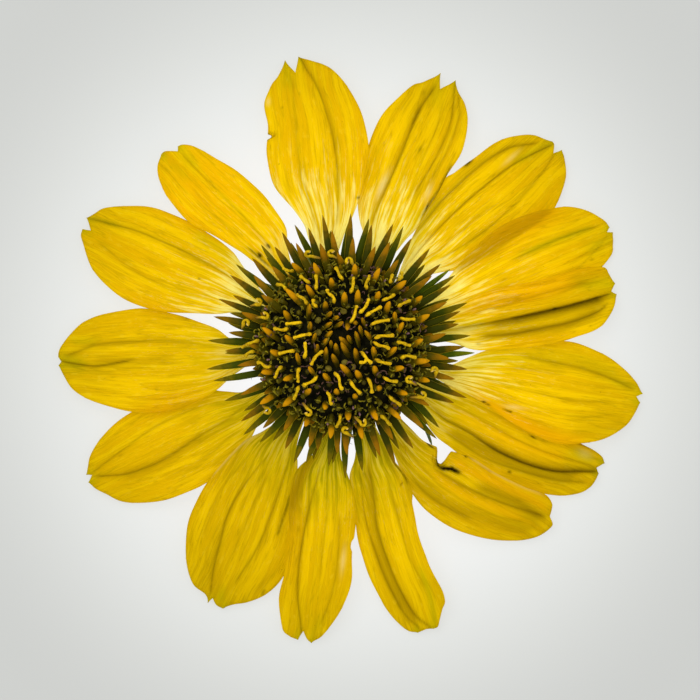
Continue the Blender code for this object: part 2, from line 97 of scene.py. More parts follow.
# A petal's root is its turn on the receptacle and its heading the way it points, both in degrees
# from the picture's right. Lift is for its left and right margins, and grooves are shares of its
# half width. Shine is its brightness, cream how much of its base is pale, dusk how dull green its
# base is, and tone how deep its gold. Its edges are y at each of the stations, and its tip is
# (y, reach) points. A nick in its left edge is (x, depth, half length, lean towards the tip).
# The marks of each petal are (kind, strength, width, points). A pair of widths is for the
# left and the right of the line. Each spot is (kind, strength, x, y, half length, half width).
# A fold grooves the petal and paints the dark line and shade of its crease, and a shade mark is
# painted shade beside folds and where a petal's margin lies over its neighbour. The dark stain
# marks are real stains, and some are painted: shadows beside curled margins and shade along folds.
# A pale mark is a pale patch, and along a few margins a painted highlight of the lit edge.
PETALS = {
    "petal_01": dict(
        root=96, heading=97.3, lift=(0, 1), grooves=(-0.28, 0.3),
        shine=1.01, cream=1.0, dusk=0.0, tone=0.1,
        nicks=((28.1, 0.7, 0.35, 0.0),),
        left=(1, 1.2, 3.3, 3.8, 5.1, 8.0, 8.6, 7.7),
        right=(-1, -0.4, -2.4, -4.1, -5.4, -7.3, -8.4, -7.8),
        tip=((7.7, 34), (7.0, 35.6), (6.2, 37.0), (5.0, 38.2), (3.5, 40.7), (2.1, 38.4), (1.2, 41.0),
             (-0.5, 40.2), (-2.8, 39.1), (-4.4, 37.7), (-6.1, 35)),
        marks=(
            ("fold", 0.6, (0.2, 0.8), ((12, -1.4), (15, -2), (20, -2.6), (25, -2.7), (30, -2.2),
                                        (35, -1.2), (39, 0.4), (41, 1.2))),
            ("fold", 0.25, 0.5, ((17, 3.6), (22, 3.4), (30, 3.2), (37, 2.6))),
            ("fold", 0.35, 0.3, ((9, -0.8), (14, -0.9), (20, -1.0))),
            ("fold", 0.35, 0.3, ((9, 1.0), (14, 2.2), (20, 3.0))),
            ("green", 0.5, 1.3, ((36, 3.6), (40, 3.4))),
        ),
        spots=(("stain_and_shade", 0.8, 16, -5.8, 0.25, 0.6), ("stain_and_shade", 0.4, 32.7, 5.0, 0.3, 0.3),
               ("stain_and_shade", 0.7, 28.3, 8.1, 0.6, 0.35), ("pale", 0.7, 34, 7.2, 0.5, 0.3))),
    "petal_02": dict(
        root=73, heading=67.7, lift=(-1, 0.4), grooves=(0.3, -0.5),
        shine=1.01, cream=0.9, dusk=0.0, tone=-0.05,
        left=(1, 1.2, 2.6, 4.5, 5.8, 6.9, 8.0, 7.8),
        right=(-1, -1.0, -3.1, -3.9, -4.8, -5.4, -6.0, -6.8),
        tip=((6.0, 35), (4.8, 37.0), (3.6, 37.9), (2.5, 39.0), (1.8, 39.8), (1.3, 40.6), (0.35, 38.0),
             (-1.5, 40.4), (-2.5, 38.9), (-4.3, 37.3), (-5.6, 35.1)),
        marks=(
            ("fold", 0.7, (0.9, 0.25), ((12, 2.2), (15, 2.5), (25, 2.2), (33, 2.3), (38, 1.3))),
            ("stain_and_shade", 0.35, 0.5, ((30, 2.4), (34, 2.3))),
            ("fold", 0.6, 0.35, ((20, -2.2), (27, -3.2), (33, -3.3), (38, -2.0), (40, -1.4))),
            ("fold", 0.45, 0.35, ((22, -3.6), (28, -4.5), (35, -4.2), (38.5, -2.5))),
            ("fold", 0.3, 0.4, ((24, -1.0), (31, -1.5), (36, -0.8))),
            # Painted shadow along the right margin, which curls over the next petal.
            ("stain_and_shade", 0.55, (0.25, 0.4), ((16.5, -4.7), (18.5, -4.9), (20, -5.2), (22, -5.6),
                                          (24.5, -5.8), (27, -6.1))),
            ("green", 0.4, 1.6, ((35, 0.8), (39.5, 1.0))),
            ("green", 0.3, 1.2, ((9, -2.2), (14, -3.6), (18, -4.3))),
        ),
        # The first stain spot darkens the same painted shadow.
        spots=(("stain_and_shade", 0.85, 18.6, -4.95, 1.2, 0.2), ("stain_and_shade", 0.5, 27.1, -0.2, 0.8, 0.3),
               ("stain_and_shade", 0.35, 33.2, 2.2, 0.9, 0.35), ("pale", 0.8, 19, 3.3, 2.0, 0.4),
               ("pale", 0.6, 21, -4.3, 1.3, 0.3), ("stain_and_shade", 0.35, 36.4, 2.8, 0.8, 0.3))),
    "petal_03": dict(
        root=44, heading=42.2, lift=(-0.6, -1), grooves=(0.42, -0.2),
        shine=1.03, cream=0.8, dusk=0.0, tone=0.0,
        nicks=((22.6, -0.5, 2.0, 0.0),),
        left=(1, 1.6, 4.0, 5.3, 6.4, 8.1, 8.5, 8.2),
        right=(-1, -0.9, -0.9, -2.1, -3.8, -5.2, -6.5, -7.6),
        tip=((7.4, 35), (6.2, 37.3), (4.4, 39.5), (1.7, 41.0), (1.1, 40.9), (0.1, 39.8),
             (-0.4, 41.3), (-1.8, 40.6), (-4.3, 38.6), (-6.4, 35)),
        marks=(
            ("fold", 0.6, (0.9, 0.5), ((12, 5.0), (17, 6.0), (22, 6.6), (30, 6.6), (35, 5.5), (39, 3.0))),
            ("fold", 0.75, (0.5, 0.25), ((10, 2.6), (15, 3.3), (20, 3.6), (27, 3.6), (33, 3.1),
                                         (38, 1.9), (40.6, 1.2))),
            ("fold", 0.5, 0.3, ((13, -0.4), (22, -1.8), (30, -1.9), (36, -1.2), (40, -0.1))),
            ("fold", 0.25, 0.3, ((12, 0.8), (20, 0.6), (27, 0.9))),
            ("green", 0.6, 0.9, ((34, 3.2), (38, 2.2), (40.8, 1.6))),
            ("green", 0.35, 1.0, ((10, 3.8), (15, 5.4), (20, 7.0))),
        ),
        spots=(("stain_and_shade", 0.8, 28, 8.3, 1.1, 0.4), ("pale", 0.5, 34, 4.2, 1.5, 0.3))),
    "petal_04": dict(
        root=27, heading=22.7, lift=(1, -1), grooves=(0.28, -0.45),
        shine=1.08, cream=0.9, dusk=0.0, tone=0.0,
        left=(1, 1.2, 2.2, 3.2, 4.6, 6.7, 7.8, 7.7),
        right=(-1, -1.2, -2.6, -3.6, -4.4, -5.6, -6.2, -6.2),
        tip=((6.6, 35), (5.4, 37.3), (4.0, 39), (2.0, 40.5), (0.6, 40.9), (0.0, 40.2),
             (-0.4, 41.1), (-2.2, 40.4), (-4.0, 39.2), (-5.8, 35)),
        marks=(
            ("fold", 0.5, 0.4, ((24, 1.8), (28, 2.0), (34, 2.0), (39, 1.5))),
            ("green", 0.8, 0.5, ((26, 2.0), (31, 2.1), (38, 1.7))),
            # Painted shade where the left margin lies over the next petal.
            ("shade", 0.7, (5.0, 0.2), ((14, 3.6), (20, 4.2), (25, 5.0), (30, 6.0), (33, 7.0))),
            ("fold", 0.4, 0.25, ((30, -4.3), (35, -3.0), (40, -0.6))),
            ("fold", 0.3, 0.25, ((33, -2.2), (37, -1.4), (40.5, -0.3))),
            ("fold", 0.25, 0.3, ((12, -1.0), (20, -1.6), (27, -1.8))),
            ("green", 0.45, 1.4, ((36, -1.6), (40.5, -0.8))),
        ),
        spots=(("stain_and_shade", 0.35, 21, -0.6, 1.2, 0.25), ("stain_and_shade", 0.4, 36, -3.2, 0.5, 0.25),
               ("stain_and_shade", 0.3, 24, 6.6, 1.5, 0.2))),
    "petal_05": dict(
        root=10, heading=12.0, lift=(1, 1), grooves=(-0.05, 0.45),
        shine=1.05, cream=0.75, dusk=0.0, tone=-0.3,
        left=(1, 1.2, 2.4, 3.2, 3.9, 4.3, 4.3, 4.6),
        right=(-1, -1.2, -2.9, -4.4, -5.3, -5.9, -6.3, -6.2),
        tip=((4.9, 35), (4.3, 37.4), (3.0, 38.0), (1.2, 38.7), (0.1, 37.8), (-0.6, 38.6),
             (-2.0, 38.0), (-3.2, 37.2), (-4.2, 36.2), (-5.1, 35)),
        marks=(
            ("fold", 1.0, (0.3, 1.0), ((8, -0.5), (17, -0.8), (28, -0.8), (33, -0.6), (37.5, -0.2))),
            # Painted shade along the fold's dark line.
            ("stain_and_shade", 0.5, (0.3, 0.9), ((20, -0.9), (26, -0.8), (31, -0.7), (36, -0.4))),
            ("shade", 1.0, (0.4, 1.7), ((17, -1.0), (24, -1.0), (30, -0.9), (36, -0.8))),
            ("shade", 0.9, (0.9, 0.7), ((15, -2.9), (22, -3.6), (29, -3.7), (35, -2.8))),
            ("fold", 0.7, 0.45, ((15, -2.9), (20, -3.5), (26, -3.6), (30, -3.6), (35, -2.8), (36.8, -1.8))),
            ("fold", 0.4, 0.35, ((14, 1.2), (22, 1.7), (28, 2.2), (34, 2.4))),
            ("green", 0.6, 1.3, ((32, 2.8), (38, 1.4))),
            ("green", 0.4, 0.8, ((8, -0.6), (16, -0.8))),
        ),
        spots=(("stain_and_shade", 0.8, 27.8, -0.8, 0.9, 0.3), ("stain_and_shade", 0.4, 14, -3.9, 0.6, 0.3),
               ("stain_and_shade", 0.4, 33, -4.9, 0.3, 0.2))),
    "petal_06": dict(
        root=-9, heading=-9.0, lift=(-1, 1), grooves=(0.42, -0.15),
        shine=1.07, cream=0.9, dusk=0.15, tone=-0.15,
        left=(1, 0.2, -0.2, 1.3, 2.8, 5.2, 6.4, 6.9),
        right=(-1, -1.6, -3.4, -4.2, -5.0, -7.2, -9.2, -10.1),
        tip=((5.7, 35), (3.8, 38.9), (1.9, 41.4), (0.1, 42.8), (-0.5, 41.8), (-1.4, 42.6),
             (-3.2, 42.0), (-5.6, 40.8), (-8.0, 38.1), (-9.2, 35)),
        marks=(
            ("fold", 0.5, (0.8, 0.4), ((22, 3.0), (30, 2.8), (36, 2.0), (41, 0.6))),
            ("fold", 0.3, 0.4, ((20, 0.8), (24, 1.3), (29, 1.7))),
            ("fold", 0.35, 0.35, ((14, -1.2), (22, -2.2), (30, -2.8), (37, -2.2))),
            ("fold", 0.25, 0.3, ((24, -4.6), (32, -5.4), (38, -4.2))),
            ("shade", 0.3, (1.2, 1.6), ((32, -7.4), (37, -6.8), (40, -5.0))),
            ("green", 0.5, 0.9, ((37, 1.8), (42, 0.6))),
            ("green", 0.35, 1.5, ((13, 0.8), (22, 3.2), (30, 4.0), (38, 2.6))),
            ("gold", 0.6, 0.8, ((14, -3.9), (17, -5.2), (20, -6.6), (25, -8.4), (30, -9.4), (34, -9.2))),
        ),
        spots=(("stain_and_shade", 0.95, 16.4, -5.3, 0.5, 0.18), ("stain_and_shade", 0.8, 17.2, -5.6, 0.4, 0.16),
               ("stain_and_shade", 0.8, 20.1, -6.0, 0.4, 0.16), ("stain_and_shade", 0.95, 20.9, -6.2, 0.45, 0.18),
               ("pale", 0.7, 21.5, -5.4, 1.4, 0.25))),
    "petal_07": dict(
        root=-30, heading=-22.6, lift=(-1, -1), grooves=(-0.2, 0.3),
        shine=0.95, cream=0.3, dusk=0.2, tone=-0.1,
        left=(1, 1.0, 1.8, 2.2, 2.6, 2.2, 1.8, 1.2),
        right=(-1, -1.8, -5.4, -6.8, -7.4, -8.6, -9.1, -9.0),
        tip=((1.1, 35), (1.4, 37), (0.9, 39.1), (0.0, 40.0), (-1.2, 39.0), (-2.0, 39.7),
             (-3.3, 39.6), (-4.8, 39.2), (-6.4, 37.8), (-8.0, 35)),
        marks=(
            ("fold", 1.0, (1.0, 0.45), ((10, -2.8), (12, -3.5), (17, -4), (22, -5), (27, -5.2),
                                        (32, -4.6), (36, -3.2), (39.5, -1.8))),
            # Painted shade that widens the fold's dark band.
            ("stain_and_shade", 0.36, (0.9, 0.35), ((20, -4.6), (24, -5.1), (28, -5.2), (33, -4.3), (37.5, -2.6))),
            ("fold", 0.55, 0.5, ((13, -5.2), (15, -5.8), (22, -6.8), (33, -5.8), (38, -4.3))),
            ("fold", 0.4, 0.4, ((12, -0.6), (20, -1.6), (28, -2.2), (35, -1.6), (38.6, -1.2))),
            ("fold", 0.3, 0.4, ((12, 1.0), (20, 0.4), (30, -0.4))),
            ("shade", 0.8, (1.0, 0.9), ((14, -5.0), (22, -5.8), (30, -5.8), (36, -4.4))),
            ("gold", 0.7, 1.1, ((14, -2.0), (20, -2.6), (27, -2.6), (33, -1.8))),
            ("green", 0.6, 1.0, ((34, -0.2), (38, -0.2))),
        ),
        spots=(("stain_and_shade", 0.8, 26.9, -0.6, 0.8, 0.2), ("stain_and_shade", 0.8, 25.6, -7.4, 0.35, 0.3),
               ("pale", 0.45, 36.2, 0.1, 1.1, 0.6))),
    "petal_08": dict(
        root=-56, heading=-35.6, lift=(1, -1), grooves=(-0.15, 0.4),
        shine=0.93, cream=0.3, dusk=0.3, tone=0.0,
        nicks=((15.9, 2.4, 0.86, 0.34),),
        left=(1, -0.7, -1.6, -1.9, -1.4, 0.4, 0.6, 1.3),
        right=(-1, -3.6, -6.8, -8.6, -10.1, -11.2, -10.8, -9.4),
        tip=((2.5, 34.5), (1.9, 36), (1.0, 36.6), (0.3, 36.9), (-0.1, 37.1), (-0.8, 38.2),
             (-1.8, 38.2), (-3.2, 37.8), (-4.9, 36.7), (-6.6, 35)),
        marks=(
            ("fold", 0.5, 0.5, ((9, -4.6), (12, -6.5), (16, -8.4), (20, -8.8), (26, -8.0))),
            ("fold", 0.6, (0.5, 0.9), ((17, -4.6), (22, -4.2), (28, -3), (33, -1.6), (36.5, -0.4))),
            ("fold", 0.35, 0.4, ((9, -3.4), (14, -5.4), (20, -6.4), (28, -5.6), (34, -3.4))),
            ("shade", 0.6, (0.7, 1.3), ((15, -7.6), (22, -7.8), (30, -5.8), (36, -3.2))),
            ("shade", 0.9, 0.9, ((24, -2.8), (28, -1.9), (32, -1.2), (36, -1.0))),
            # Deeper orange painted where the left margin lies over the next petal and light comes through
            # both.
            ("gold", 0.75, 0.7, ((20, -2.0), (24, -1.0), (28, -0.3), (32, 0.4), (35.5, 0.8))),
            ("gold", 0.7, 0.9, ((17, -5.4), (22, -5.4), (28, -4.2), (33, -2.6))),
            # Painted highlight along the lit left margin.
            ("pale", 0.5, 0.14, ((20, 0.35), (25, 0.55), (30, 1.25), (33.5, 2.2))),
            ("stain_and_shade", 0.9, 0.16, ((12.6, -1.8), (13.3, -1.95), (14.7, -1.95))),
            ("stain_and_shade", 1.0, 0.26, ((15.9, -3.2), (16.6, -3.75), (17.1, -3.8), (17.5, -3.2))),
            ("stain_and_shade", 1.0, (0.5, 0.42), ((16.6, -3.9), (17.6, -3.75), (18.4, -3.35), (19.0, -3.05),
                                       (20.4, -2.75))),
            ("stain_and_shade", 0.9, 0.14, ((17.8, -0.45), (18.4, 0.0), (18.9, 0.25), (19.6, 0.25))),
        ),
        spots=(("gold", 0.9, 19.5, -1.6, 1.3, 0.8), ("stain_and_shade", 1.0, 18.85, -3.0, 0.6, 0.5),
               ("stain_and_shade", 0.9, 19.45, 0.0, 0.2, 0.3))),
    "petal_09": dict(
        root=-75, heading=-72.1, lift=(1, -1), grooves=(-0.3, -0.62),
        shine=0.99, cream=0.15, dusk=0.6, tone=-0.25,
        nicks=((17.6, -0.45, 1.9, 0.0),),
        left=(1, 1.4, 2.4, 2.9, 3.7, 3.5, 2.8, 2.9),
        right=(-1, -1.4, -3.1, -4.8, -5.4, -6.4, -7.1, -7.1),
        tip=((3.7, 37.6), (2.9, 38.7), (1.9, 40.4), (1.3, 41.3), (0.5, 41.4), (-0.6, 41.1),
             (-2.2, 41.3), (-3.6, 40.5), (-4.8, 38.7), (-6.2, 35)),
        marks=(
            ("fold", 0.7, 0.4, ((12, -1.4), (17, -2.2), (22, -3.2), (28, -3.3), (33, -2.9), (38, -1.8),
                               (41, 0))),
            ("fold", 0.6, 0.35, ((13, -3.2), (20, -4.6), (27, -4.7), (33, -4.2), (38, -3.2), (40.8, -1.5))),
            ("fold", 0.35, 0.4, ((12, 1.2), (20, 0.6), (28, 0.3), (34, 1.2))),
            ("green", 0.7, 0.5, ((31, 1.4), (35, 1.6), (41, 1.0))),
            ("shade", 0.7, (0.5, 0.9), ((12, -1.6), (22, -3.4), (30, -3.6), (39, -2.0))),
            ("shade", 0.6, (1.0, 0.5), ((24, -4.6), (30, -4.5), (37, -3.4))),
            # Painted shadow beside the left margin, which lies over the next petal.
            ("stain_and_shade", 0.7, 0.17, ((11, 2.3), (13, 2.8), (15, 3.55), (17, 3.95))),
        ),
        spots=(("stain_and_shade", 0.4, 13, -2.6, 0.9, 0.3),)),
    "petal_10": dict(
        root=-98, heading=-96.5, lift=(1, 1), grooves=(-0.35, 0.3),
        shine=0.98, cream=0.05, dusk=0.85, tone=-0.3,
        nicks=((24.3, 0.35, 0.9, 0.0),),
        left=(1, 1.4, 2.0, 3.4, 4.6, 5.6, 5.6, 6.2),
        right=(-1, -0.8, -2.5, -4.6, -5.5, -5.4, -4.9, -5.1),
        tip=((5.2, 35), (4.0, 37.6), (2.4, 40.3), (0.8, 41.7), (0.0, 41.1), (-0.8, 39.8),
             (-1.5, 41.4), (-3.0, 40.9), (-4.4, 39.6), (-5.4, 35)),
        marks=(
            ("fold", 0.7, 0.4, ((12, -1.1), (20, -2.3), (27, -2.8), (33, -2.6), (38, -1.6), (40.7, -1.1))),
            ("fold", 0.4, 0.4, ((20, 3.0), (25, 3.4), (32, 3.3), (38, 2.0))),
            ("fold", 0.3, 0.3, ((12, 0.9), (20, 0.9), (30, 0.8))),
            # Painted shade where the right margin lies over the next petal, fading towards the tip.
            ("shade", 1.0, (1.0, 1.2), ((10, -2.4), (12, -3.4), (16, -4.7), (20, -5.1))),
            ("shade", 0.75, (0.8, 1.2), ((12, -3.4), (16, -4.7), (20, -5.1), (23.5, -5.1))),
            ("shade", 0.45, (0.6, 1.2), ((16, -4.7), (20, -5.1), (23.5, -5.1), (27.5, -5.1))),
            ("green", 0.4, 1.0, ((37, 1.8), (41, 0.6))),
        ),
        spots=(("pale", 0.6, 27, 4.4, 1.9, 0.35), ("stain_and_shade", 0.35, 22.7, -3.6, 1.0, 0.3))),
    "petal_11": dict(
        root=-125, heading=-115.2, lift=(-1, 1), grooves=(0.15, -0.3),
        shine=0.90, cream=0.1, dusk=0.55, tone=-0.25,
        left=(1, 0.8, 1.6, 2.9, 4.0, 6.2, 8.2, 8.8),
        right=(-1, -1.6, -4.4, -6.4, -7.4, -9.0, -9.7, -9.1),
        tip=((7.4, 35), (5.4, 37.3), (3.2, 38.8), (2.0, 40.1), (0.7, 40.0), (-0.3, 39.2),
             (-0.7, 40.3), (-1.6, 39.2), (-4.4, 38.3), (-7.1, 35)),
        marks=(
            ("fold", 0.55, 0.4, ((10, 0.2), (12, 1.2), (20, 2.3), (28, 2.8), (35, 2.0))),
            ("fold", 0.65, 0.4, ((13, -2.0), (20, -3.6), (25, -4), (30, -3.2), (35, -2.2), (38.5, -1))),
            ("fold", 0.3, 0.35, ((12, -0.6), (20, -0.8), (30, -0.6))),
            ("fold", 0.25, 0.35, ((15, -5.0), (22, -6.6), (30, -6.2))),
            ("green", 0.6, 0.8, ((37, 0.6), (40, 1.0))),
            # Painted highlight along the lit right margin.
            ("pale", 0.5, 0.16, ((10.5, -4.7), (12.5, -6.2), (15, -7.3), (20, -8.85))),
            ("stain_and_shade", 0.5, 0.3, ((17, 3.9), (20, 4.3), (25, 5.0))),
        ),
        spots=(("stain_and_shade", 0.4, 22.4, 4.5, 0.5, 0.25), ("stain_and_shade", 0.4, 24.6, 4.8, 0.4, 0.2),
               ("stain_and_shade", 0.6, 34.7, 6.8, 0.7, 0.3))),
    "petal_12": dict(
        root=-149, heading=-153.3, lift=(-1, -1), grooves=(0.2, -0.25),
        shine=0.97, cream=0.2, dusk=0.38, tone=-0.1,
        left=(1, 1.4, 4.5, 6.4, 7.4, 8.9, 9.4, 8.8),
        right=(-1, -1.0, -1.3, -2.8, -4.4, -6.2, -6.9, -6.4),
        tip=((6.9, 35), (5.6, 36.8), (4.0, 38), (2.3, 39.3), (0.6, 40.0), (-0.2, 38.9),
             (-0.7, 39.8), (-1.8, 38.9), (-3.3, 37.6), (-4.9, 35)),
        marks=(
            ("fold", 0.65, 0.45, ((11, 1.0), (14, 1.5), (20, 2.0), (27, 2.7), (33, 2.2), (38.5, 0.2))),
            ("fold", 0.45, 0.4, ((14, -1.6), (20, -2.6), (26, -2.7), (33, -1.6), (38.6, -0.6))),
            ("fold", 0.3, 0.35, ((14, 4.0), (20, 5.4), (28, 5.8))),
            ("shade", 0.35, 1.2, ((13, 1.8), (20, 2.6), (28, 3.2), (34, 2.4))),
        ),
        spots=(("stain_and_shade", 0.4, 33, -1, 0.6, 0.2),)),
    "petal_13": dict(
        root=180, heading=182.0, lift=(1, -1), grooves=(0.05, -0.4),
        shine=0.97, cream=0.3, dusk=0.12, tone=-0.1,
        left=(1, 1.4, 4.3, 6.5, 8.0, 9.7, 10.1, 9.0),
        right=(-1, -0.9, -1.5, -3.4, -4.6, -6.4, -7.2, -6.8),
        tip=((7.1, 35), (5.5, 37.3), (3.2, 38.7), (1.8, 39.4), (1.2, 38.9), (0.4, 39.4),
             (-0.5, 39.3), (-1.6, 38.7), (-3.5, 37.1), (-5.3, 35)),
        marks=(
            ("fold", 0.9, (0.5, 0.4), ((27, 1.2), (30, 1.7), (33, 2.0), (36, 1.6), (39, 1.0))),
            ("fold", 0.35, 0.3, ((30, 3.5), (34, 3.0), (37, 2.0))),
            ("fold", 0.5, 0.5, ((12, -0.4), (20, -1.6), (27, -1.8), (33, -1.4), (38, 0.2))),
            ("shade", 0.35, (1.2, 0.8), ((20, 1.2), (27, 1.4), (33, 1.0))),
            ("green", 0.5, 0.7, ((33, -2.2), (37, -2.2))),
            ("green", 0.8, 1.4, ((35, 1.8), (39, 0.8))),
        ),
        spots=(("stain_and_shade", 0.4, 17.5, -5.3, 0.9, 0.4), ("stain_and_shade", 0.5, 22.8, 6.2, 0.3, 0.3))),
    "petal_14": dict(
        root=156, heading=154.4, lift=(1, -1), grooves=(-0.35, 0.15),
        shine=0.98, cream=0.8, dusk=0.0, tone=0.1,
        left=(1, 1.0, 2.1, 3.6, 4.8, 6.9, 8.2, 7.9),
        right=(-1, -1.8, -3.7, -5.2, -6.7, -7.7, -7.9, -7.6),
        tip=((5.9, 35), (4.6, 36.7), (3.0, 38.3), (1.9, 39.3), (0.8, 39.6), (0.4, 38.2),
             (-1.2, 39.8), (-2.4, 38.9), (-3.9, 37.8), (-5.6, 35)),
        marks=(
            ("fold", 0.6, 0.45, ((12, -2.2), (15, -2.8), (22, -3.2), (28, -3.1), (33, -2.6), (39.5, -1.2))),
            ("green", 0.7, 0.45, ((34, -2.3), (37, -1.9), (39.5, -1.2))),
            ("fold", 0.3, 0.4, ((16, 2.6), (22, 3.5), (30, 3.0), (36, 1.6))),
            ("green", 0.35, 1.5, ((12, -4.5), (16, -6.0), (22, -6.6))),
        ),
        spots=(("stain_and_shade", 0.8, 18, -0.2, 0.25, 0.25),)),
    "petal_15": dict(
        root=125, heading=132.5, lift=(1, 0), grooves=(0.1, -0.35),
        shine=1.02, cream=0.35, dusk=0.0, tone=0.6,
        left=(1, 1.2, 1.8, 2.4, 2.8, 4.3, 6.0, 5.6),
        right=(-1, -0.9, -3.3, -5.3, -6.0, -6.2, -5.8, -4.5),
        tip=((5.2, 31.5), (4.4, 33.6), (3.2, 35.1), (1.5, 36.1), (0.6, 36.0), (-0.8, 34.6),
             (-1.4, 35.2), (-2.1, 34.9), (-3.1, 33.7), (-4.0, 31.5)),
        marks=(
            ("fold", 0.4, 0.3, ((11, -1.1), (18, -1.6), (25, -1.2), (33, -0.9))),
            ("fold", 0.25, 0.3, ((12, 1.6), (20, 1.8), (28, 1.6))),
            ("stain_and_shade", 0.6, 0.25, ((9.6, 1.0), (12, 1.2), (14.6, 1.4))),
            ("green", 0.45, 0.8, ((30, 1.2), (34, 1.2))),
            ("green", 0.45, 0.8, ((30, -1.4), (34, -1.2))),
        ),
        spots=(("stain_and_shade", 0.9, 12.3, 0.9, 0.6, 0.4), ("stain_and_shade", 0.9, 12.5, -1.2, 0.5, 0.35))),
}

# The cone, with the same values as the CAD part, and its finer pieces
CORE_RADIUS = 13.0
CORE_RISE = 8.2
CORE_MIDDLE = 14.4
CORE_BOTTOM = 11.2
CORE_FOOT = 7.4
GOLDEN_ANGLE = math.radians(137.508)
LOWEST_SLOPE = math.radians(99)
SPIRAL = 230
# The spiral's first floret and the one after its last, the first of the low spines between the
# rim's, the first of the spines under the rim, and the one of those that a white gap rules out
FIRST_FLORET = 9
AFTER_FLORETS = 150
FIRST_LOW_SPINE = 104
FIRST_UNDER_SPINE = 206
MISSING_SPINE = 224

# The crown's middle, which the spines and styles are measured from
CROWN_X = -1.28
CROWN_Y = 0.43

